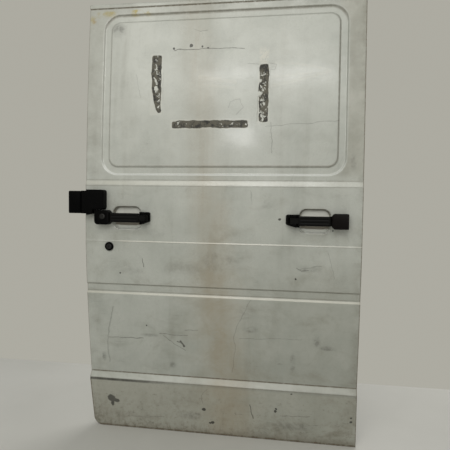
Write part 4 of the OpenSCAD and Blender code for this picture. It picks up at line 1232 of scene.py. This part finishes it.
# %% Locks, rods, buffers and stiffeners
for name in ("front_lock", "rear_latch"):
    dress(name, zinc, 1.2)
    dress(name + "_claw", zinc, 0.6)
dress("link_rod", zinc, 0)
for name in ("blank_stiffener_front", "blank_stiffener_rear", "lower_stiffener"):
    dress(name, inside, 0.4)
for edge in ("front", "rear"):
    for height in ("upper", "lower"):
        dress(f"{edge}_locator_{height}", rubber, 1.6)
dress("inside_handle_dish", lining, 1.8)
dress("inside_handle_lever", lining, 1.4)
print("inner parts are dressed")

# %% [markdown]
# ## Inner panel and seal
# The inner panel is pressed too: each cut-out has a turned edge and a raised frame, there are beads in the
# wide fields, and the outer wall turns down to the hem. It is filled with triangles between its loops of
# points, and then it is given its height. The seal is one section swept round the door.

# %% Inner panel: sizes and height
# Cut-outs and beads: X from, X to, Z from, Z to, radius. Holes: X, Z, radius
CUTOUTS = [(-415, 415, 1075, 1585, 60), (-440, -70, 640, 900, 40), (70, 440, 640, 900, 40),
           (-440, -70, 260, 560, 40), (70, 440, 260, 560, 40)]
BEADS = [(-13, 13, 285, 535, 13), (-13, 13, 665, 875, 13), (-330, 330, 590, 612, 11),
         (-400, 330, 112, 138, 13), (-380, 340, 172, 190, 9),
         (-300, 300, 950, 976, 13), (-180, 180, 1016, 1036, 10)]
HOLES = [(x, 1052, 5) for x in (-360, -240, -120, 0, 120, 240, 360)]
HOLES += [(x, 237, 5) for x in (-400, -255, -110, 110, 255, 400)] + [(x, 622, 4) for x in (-400, 400)]
HOLES += [(x, 60, 9) for x in (-330, -110, 110, 310)]
HOLES += [(-462, 1300, 6), (456, 1300, 6), (-462, 560, 6), (462, 620, 6)]
FACE_LINE_Z = [0, 225, 600, 1000, 1560, DOOR_H]
FACE_LINE_Y = [90, 90, 58, 58, 92, 92]
WALL_IN = 12
BEND = 4
DRAW_DEPTH, DRAW_WIDTH = 9, 7           # turned edge of a cut-out
FRAME_UP, FRAME_NEAR, FRAME_FAR, FRAME_SIDE = 2.5, 12, 26, 5        # raised frame round a cut-out
BEAD_DEPTH, BEAD_SIDE = 5, 8
DIMPLE_DEPTH, DIMPLE_SIDE = 1.5, 5      # sunk rim of a hole


def face_y(z):
    """Y of the inner panel's face towards the cabin, smoothed at its bends."""
    nearby = [np.clip(np.asarray(z, float) + by, 0, DOOR_H) for by in (-18, -9, 0, 9, 18)]
    return sum(np.interp(height, FACE_LINE_Z, FACE_LINE_Y) for height in nearby) / 5


def pressed(x, z):
    """Relief of the inner panel, towards the cabin."""
    found = np.zeros(np.shape(x))
    for cut in CUTOUTS:
        gap = pad_gap(x, z, cut)
        found = found - DRAW_DEPTH * (1 - ease((gap + 0.5) / DRAW_WIDTH)) ** 1.5
        inwards, outwards = ease((gap - FRAME_NEAR) / FRAME_SIDE), ease((gap - FRAME_FAR) / FRAME_SIDE)
        found = found + FRAME_UP * inwards * (1 - outwards)
    for bead in BEADS:
        found = found - BEAD_DEPTH * ease(-pad_gap(x, z, bead) / BEAD_SIDE + 0.1)
    for at_x, at_z, r in HOLES:
        found = found - DIMPLE_DEPTH * (1 - ease((np.hypot(x - at_x, z - at_z) - r) / DIMPLE_SIDE))
    return found


def divided(line, step):
    """A closed line with points at even steps between its corners."""
    found = []
    for one, two in zip(line, line[1:] + line[:1]):
        count = max(1, round(math.dist(one, two) / step))
        found += [(one[0] + (two[0] - one[0]) * i / count, one[1] + (two[1] - one[1]) * i / count)
                  for i in range(count)]
    return found


def pad_loop(pad, grow, step=9.0):
    """Points round a rounded rectangle that is grown by a distance."""
    x0, x1, z0, z1, r = pad
    return divided(rounded((x0 - grow, z0 - grow), (x1 + grow, z1 + grow), [max(r + grow, 0.5)] * 4, 8), step)


def circle(x, z, r, count=14):
    return [(x + r * math.cos(2 * math.pi * i / count), z + r * math.sin(2 * math.pi * i / count))
            for i in range(count)]


def fill(borders, spare, keep):
    """Triangles between closed borders, with spare points inside, where keep says so for their middles."""
    points, edges = [], []
    for border in borders:
        base = len(points)
        points += [tuple(p) for p in border]
        edges += [(base + i, base + (i + 1) % len(border)) for i in range(len(border))]
    fixed = np.array(points)
    spare = np.asarray(spare, float)
    near = np.array([np.min(np.hypot(*(fixed - p).T)) for p in spare])
    points += [tuple(p) for p in spare[near > 1.6]]
    made, _, triangles, *_ = delaunay_2d_cdt([Vector(p) for p in points], edges, [], 0, 1e-7)
    made = np.array([tuple(v) for v in made])
    triangles = np.array([t for t in triangles if len(t) == 3])
    middle = made[triangles].mean(1)
    return made, triangles[keep(middle[:, 0], middle[:, 1])]


print("panel:", len(CUTOUTS), "cut-outs,", len(BEADS), "beads,", len(HOLES), "holes")

# %% Points on the inner panel's face
FACE_IN = WALL_IN + BEND        # the face starts where the bend to the wall ends
face_across = np.linspace(0, 1, 90)
face_up = np.concatenate([[0, 0.0012, 0.003, 0.006, 0.01, 0.015, 0.021], np.linspace(0.028, 1, 118)])
face_border = rim_loop(FACE_IN, face_across, face_up)
spare = []
for cut in CUTOUTS:
    for grow in (1.5, 3, 4.5, 6.5, 12.5, 15, 17.5, 26.5, 29, 31.5):
        spare += pad_loop(cut, grow)
for bead in BEADS:
    for grow in (0, -1.8, -3.6, -5.4, -7.2):
        spare += pad_loop(bead, grow, 8)
for at_x, at_z, r in HOLES:
    spare += circle(at_x, at_z, r + 2.4) + circle(at_x, at_z, r + 5)
grid_x, grid_z = np.meshgrid(np.arange(-500, 501, 12.5), np.arange(24, DOOR_H - 20, 12.5))
clear = (grid_x > rear_edge(grid_z, FACE_IN + 4)) & (np.abs(grid_x) < HALF_W - FACE_IN - 4)
grid = np.stack([grid_x, grid_z], -1)[clear]
busy = np.array([pad_gap(grid[:, 0], grid[:, 1], cut) for cut in CUTOUTS]).min(0) < 33
bead_gap = np.array([pad_gap(grid[:, 0], grid[:, 1], bead) for bead in BEADS]).min(0)
spare += [tuple(p) for p in grid[~busy & (bead_gap > 3)]]
rim_in = FACE_IN + 1.5
spare = [p for p in spare if rear_edge(p[1], rim_in) < p[0] < HALF_W - rim_in
         and rim_in < p[1] < DOOR_H - rim_in
         and min(pad_gap(p[0], p[1], cut) for cut in CUTOUTS) > 0.5]
borders = [face_border.tolist()] + [pad_loop(cut, 0) for cut in CUTOUTS] + [circle(*hole) for hole in HOLES]
print("spare points:", len(spare))


# %% Face of the inner panel
def on_panel(x, z):
    kept = np.ones(x.shape, bool)
    for cut in CUTOUTS:
        kept &= pad_gap(x, z, cut) > 0
    for at_x, at_z, r in HOLES:
        kept &= np.hypot(x - at_x, z - at_z) > r * 0.9
    return kept & (z > FACE_IN) & (x > rear_edge(z, FACE_IN))


flat_points, triangles = fill(borders, spare, on_panel)
x, z = flat_points.T
calm = ease((HALF_W - FACE_IN - np.abs(x)) / 14) * ease((z - FACE_IN) / 14)
face_points = np.stack([x, face_y(z) + pressed(x, z) * calm, z], 1)
print("inner face:", len(triangles), "triangles")

# %% Wall of the inner panel
# Openings in the wall: which edge, Y from, Y to, Z from, Z to
GATES = [(1, 30, 70, 838, 862), (-1, 30, 70, 728, 752), (-1, 8, 49.5, 882, 938)]
# Rings of the flange that lies on the hem: drawn in by, and distance behind the skin's outer face
FLANGE = [(12, 8.5), (11.6, 6.2), (10.4, 4.7), (8.6, 4.05), (3, 4.05)]
wall_loop = rim_loop(WALL_IN, face_across, face_up)
length = np.concatenate([[0], np.cumsum(np.hypot(*(np.roll(wall_loop, -1, 0) - wall_loop).T))])
ring_x, ring_z = np.append(wall_loop, wall_loop[:1], 0).T
wall_low = skin_y(ring_z) + FLANGE[0][1]
wall_high = face_y(ring_z) - BEND
right_start, left_start = len(face_across) - 1, 2 * (len(face_across) - 1) + len(face_up) - 1


def gate_box(gate):
    """Low and high corner of an opening in the unrolled wall."""
    side, y0, y1, z0, z1 = gate
    if side > 0:
        start = length[right_start] - wall_loop[right_start, 1]
        return (start + z0, y0), (start + z1, y1)
    start = length[left_start] + wall_loop[left_start, 1]
    return (start - z1, y0), (start - z0, y1)


def box_loop(low, high):
    """Points round a rectangle, anticlockwise."""
    (x0, y0), (x1, y1) = low, high
    return divided([(x0, y0), (x1, y0), (x1, y1), (x0, y1)], 8)


def in_box(s, y, box, grow=0.0):
    (x0, y0), (x1, y1) = box
    return (s > x0 - grow) & (s < x1 + grow) & (y > y0 - grow) & (y < y1 + grow)


def on_wall(s, y):
    kept = (y > np.interp(s, length, wall_low)) & (y < np.interp(s, length, wall_high))
    for box in boxes:
        kept &= ~in_box(s, y, box)
    return kept


boxes = [gate_box(gate) for gate in GATES]
border = list(zip(length, wall_low)) + list(zip(length[::-1], wall_high[::-1]))
spare = []
for i in range(0, len(length), 2):
    for share in (0.25, 0.5, 0.75):
        spare.append((length[i], wall_low[i] + (wall_high[i] - wall_low[i]) * share))
spare = [p for p in spare if not any(in_box(p[0], p[1], box, 3) for box in boxes)]
unrolled, wall_triangles = fill([border] + [box_loop(*box) for box in boxes], spare, on_wall)
s, y = unrolled.T
wall_points = np.stack([np.interp(s, length, ring_x), y, np.interp(s, length, ring_z)], 1)
print("wall:", len(wall_triangles), "triangles")


# %% Bends, flange and thickness of the inner panel
def ring_quads(rings):
    """Quads between closed rings of points, open at both ends."""
    count = len(rings[0])
    points = [tuple(p) for ring in rings for p in ring]
    starts = [k * count for k in range(len(rings) - 1)]
    return points, [(start + i, start + (i + 1) % count, start + count + (i + 1) % count, start + count + i)
                    for start in starts for i in range(count)]


def panel_ring(margin, behind, curve):
    """A ring on the panel, drawn in by a margin, that lies behind a curve of Y over height."""
    loop = rim_loop(margin, face_across, face_up)
    return np.stack([loop[:, 0], curve(ring_z[:-1]) + behind, loop[:, 1]], 1)


PANEL_SHEET = 1.2
bend_rings = [(margin, -BEND * (1 - math.sqrt(max(0, 1 - ((FACE_IN - margin) / BEND) ** 2))))
              for margin in (16, 14.6, 13.4, 12.5, 12)]
bend = [panel_ring(margin, behind, face_y) for margin, behind in bend_rings]
bend[0] = np.stack([face_border[:, 0], face_y(face_border[:, 1]), face_border[:, 1]], 1)
flange = [panel_ring(margin, behind, skin_y) for margin, behind in FLANGE]
panel = piece("inner_panel_sheet", [(face_points.tolist(), triangles.tolist()),
                                    (wall_points.tolist(), wall_triangles.tolist()),
                                    ring_quads(bend), ring_quads(flange)],
              "door", [inside], ("inner_panel",), 40)
edit = bmesh.new()
edit.from_mesh(panel.data)
bmesh.ops.remove_doubles(edit, verts=edit.verts, dist=2e-5)
bmesh.ops.recalc_face_normals(edit, faces=edit.faces)
edit.to_mesh(panel.data)
open_edges = sum(len(edge.link_faces) == 1 for edge in edit.edges)
edit.free()
thick = panel.modifiers.new("sheet_thickness", "SOLIDIFY")
thick.thickness = PANEL_SHEET * MM
thick.offset = 0
print("inner panel:", len(panel.data.polygons), "faces,", open_edges, "open edges round its holes")

# %% Door seal
# Section of the seal: drawn in from the door's edge, and height above the panel
SEAL = [(16, 0), (30, 0), (30, 1.8), (27.6, 2.3), (27.9, 4.6), (27.2, 6.8), (25.4, 8.4), (23, 9.0),
        (20.6, 8.4), (18.8, 6.8), (18.1, 4.6), (18.4, 2.3), (16, 1.8)]
SEAL_GAP = 0.3
seal_rings = []
for margin, above in SEAL:
    loop = rim_loop(margin, face_across, face_up)
    seal_rings.append(np.stack([loop[:, 0], face_y(loop[:, 1]) + above + SEAL_GAP, loop[:, 1]], 1))
seal = piece("door_seal_bulb", [ring_quads(seal_rings + [seal_rings[0]])], "door", [rubber],
             ("door_seal",), 50)
print("seal:", len(seal.data.polygons), "faces")

# %% [markdown]
# ## Floor, light and background
# The floor is a plain pale grey, and its far edge lies close behind the door, as a wall would. The key
# light is a large soft box up on the left, so the upper half of the door is brighter than the lower half.
# A wide front light lifts the whole face, and a weak one fills in from the right. One small lamp puts the
# hot spot on the window blank, where the paint still has some gloss, a narrow one puts the pale band over
# it, and a light behind the door shows the inner side.

# %% Floor
FLOOR_HALF = 6
FLOOR_BACK = 0.55
FLOOR_DARK = (0.57, 0.56, 0.52, 1)
FLOOR_PALE = (0.62, 0.61, 0.57, 1)

floor_mesh = bpy.data.meshes.new("floor")
near, far = -FLOOR_HALF, FLOOR_BACK
corners = [(-FLOOR_HALF, near), (FLOOR_HALF, near), (FLOOR_HALF, far), (-FLOOR_HALF, far)]
floor_mesh.from_pydata([(x, y, cad_low.z) for x, y in corners], [], [(0, 1, 2, 3)])
floor = bpy.data.objects.new("floor", floor_mesh)
bpy.context.scene.collection.objects.link(floor)
ground = Finish("floor_grey")
spot = ground.node("ShaderNodeTexCoord", output="Object")
cloud = ground.noise(spot, 1.3, 4.0, 0.55)
ground.feed("Base Color", ground.mix(cloud.step(0.3, 0.7), FLOOR_DARK, FLOOR_PALE))
ground.feed("Roughness", 0.85)
floor_mesh.materials.append(ground.material)
print("floor at", round(cad_low.z, 3))

# %% Lights
# Name, place and the place that it looks at in door millimetres, width and height in metres, watts, colour
LAMPS = [
    ("key_light", (-220, -2600, 2900), (0, 0, 1000), (2.4, 1.6), 25, (1.0, 0.99, 0.93)),
    ("front_light", (-300, -2700, 1700), (0, 0, 1200), (3.0, 1.8), 9.3, (1.0, 0.99, 0.94)),
    ("fill_light", (2300, -2600, 1500), (100, 0, 800), (2.0, 2.0), 4, (0.98, 0.99, 1.0)),
    ("hot_spot", (-250, -2420, 1700), (75, 0, 1138), (0.3, 0.24), 2.0, (1, 1, 1)),
    ("window_band", (-10, -2350, 2345), (180, 15, 1380), (1.1, 0.12), 3.2, (1, 1, 1)),
    ("back_light", (800, 2600, 2400), (0, 100, 800), (2.4, 1.8), 45, (1.0, 0.99, 0.97)),
]
for name, at, towards, size, watts, tint in LAMPS:
    light = bpy.data.lights.new(name, "AREA")
    light.shape = "RECTANGLE"
    light.size, light.size_y = size
    light.energy = watts
    light.color = tint
    lamp = bpy.data.objects.new(name, light)
    start, end = Vector(place([at])[0]), Vector(place([towards])[0])
    lamp.location = start
    lamp.rotation_euler = (end - start).to_track_quat("-Z", "Y").to_euler()
    bpy.context.scene.collection.objects.link(lamp)
print("lights:", len(LAMPS))

# %% [markdown]
# The camera and the gloss see a flat, warm grey wall, as behind the real door. Everything else is lit by a
# paler and weaker sky, so that the shadows stay soft. A light path node tells the two apart.

# %% World
SKY, SKY_STRENGTH = (0.98, 1.0, 0.97, 1), 0.36
WALL, WALL_STRENGTH = (0.415, 0.405, 0.355, 1), 1.0

world = bpy.data.worlds.new("world")
bpy.context.scene.world = world
world.use_nodes = True
air = Nodes(world.node_tree)
air.tree.nodes.remove(air.tree.nodes["Background"])
camera_ray = air.node("ShaderNodeLightPath", output="Is Camera Ray")
glossy_ray = air.node("ShaderNodeLightPath", output="Is Glossy Ray")
sky = air.node("ShaderNodeBackground", None, {"Color": SKY, "Strength": SKY_STRENGTH})
wall = air.node("ShaderNodeBackground", None, {"Color": WALL, "Strength": WALL_STRENGTH})
blend = air.node("ShaderNodeMixShader", None, {0: camera_ray | glossy_ray, 1: sky, 2: wall})
air.put(air.tree.nodes["World Output"].inputs["Surface"], blend)
bpy.context.scene.view_settings.view_transform = "Standard"
print("world nodes:", len(air.tree.nodes))
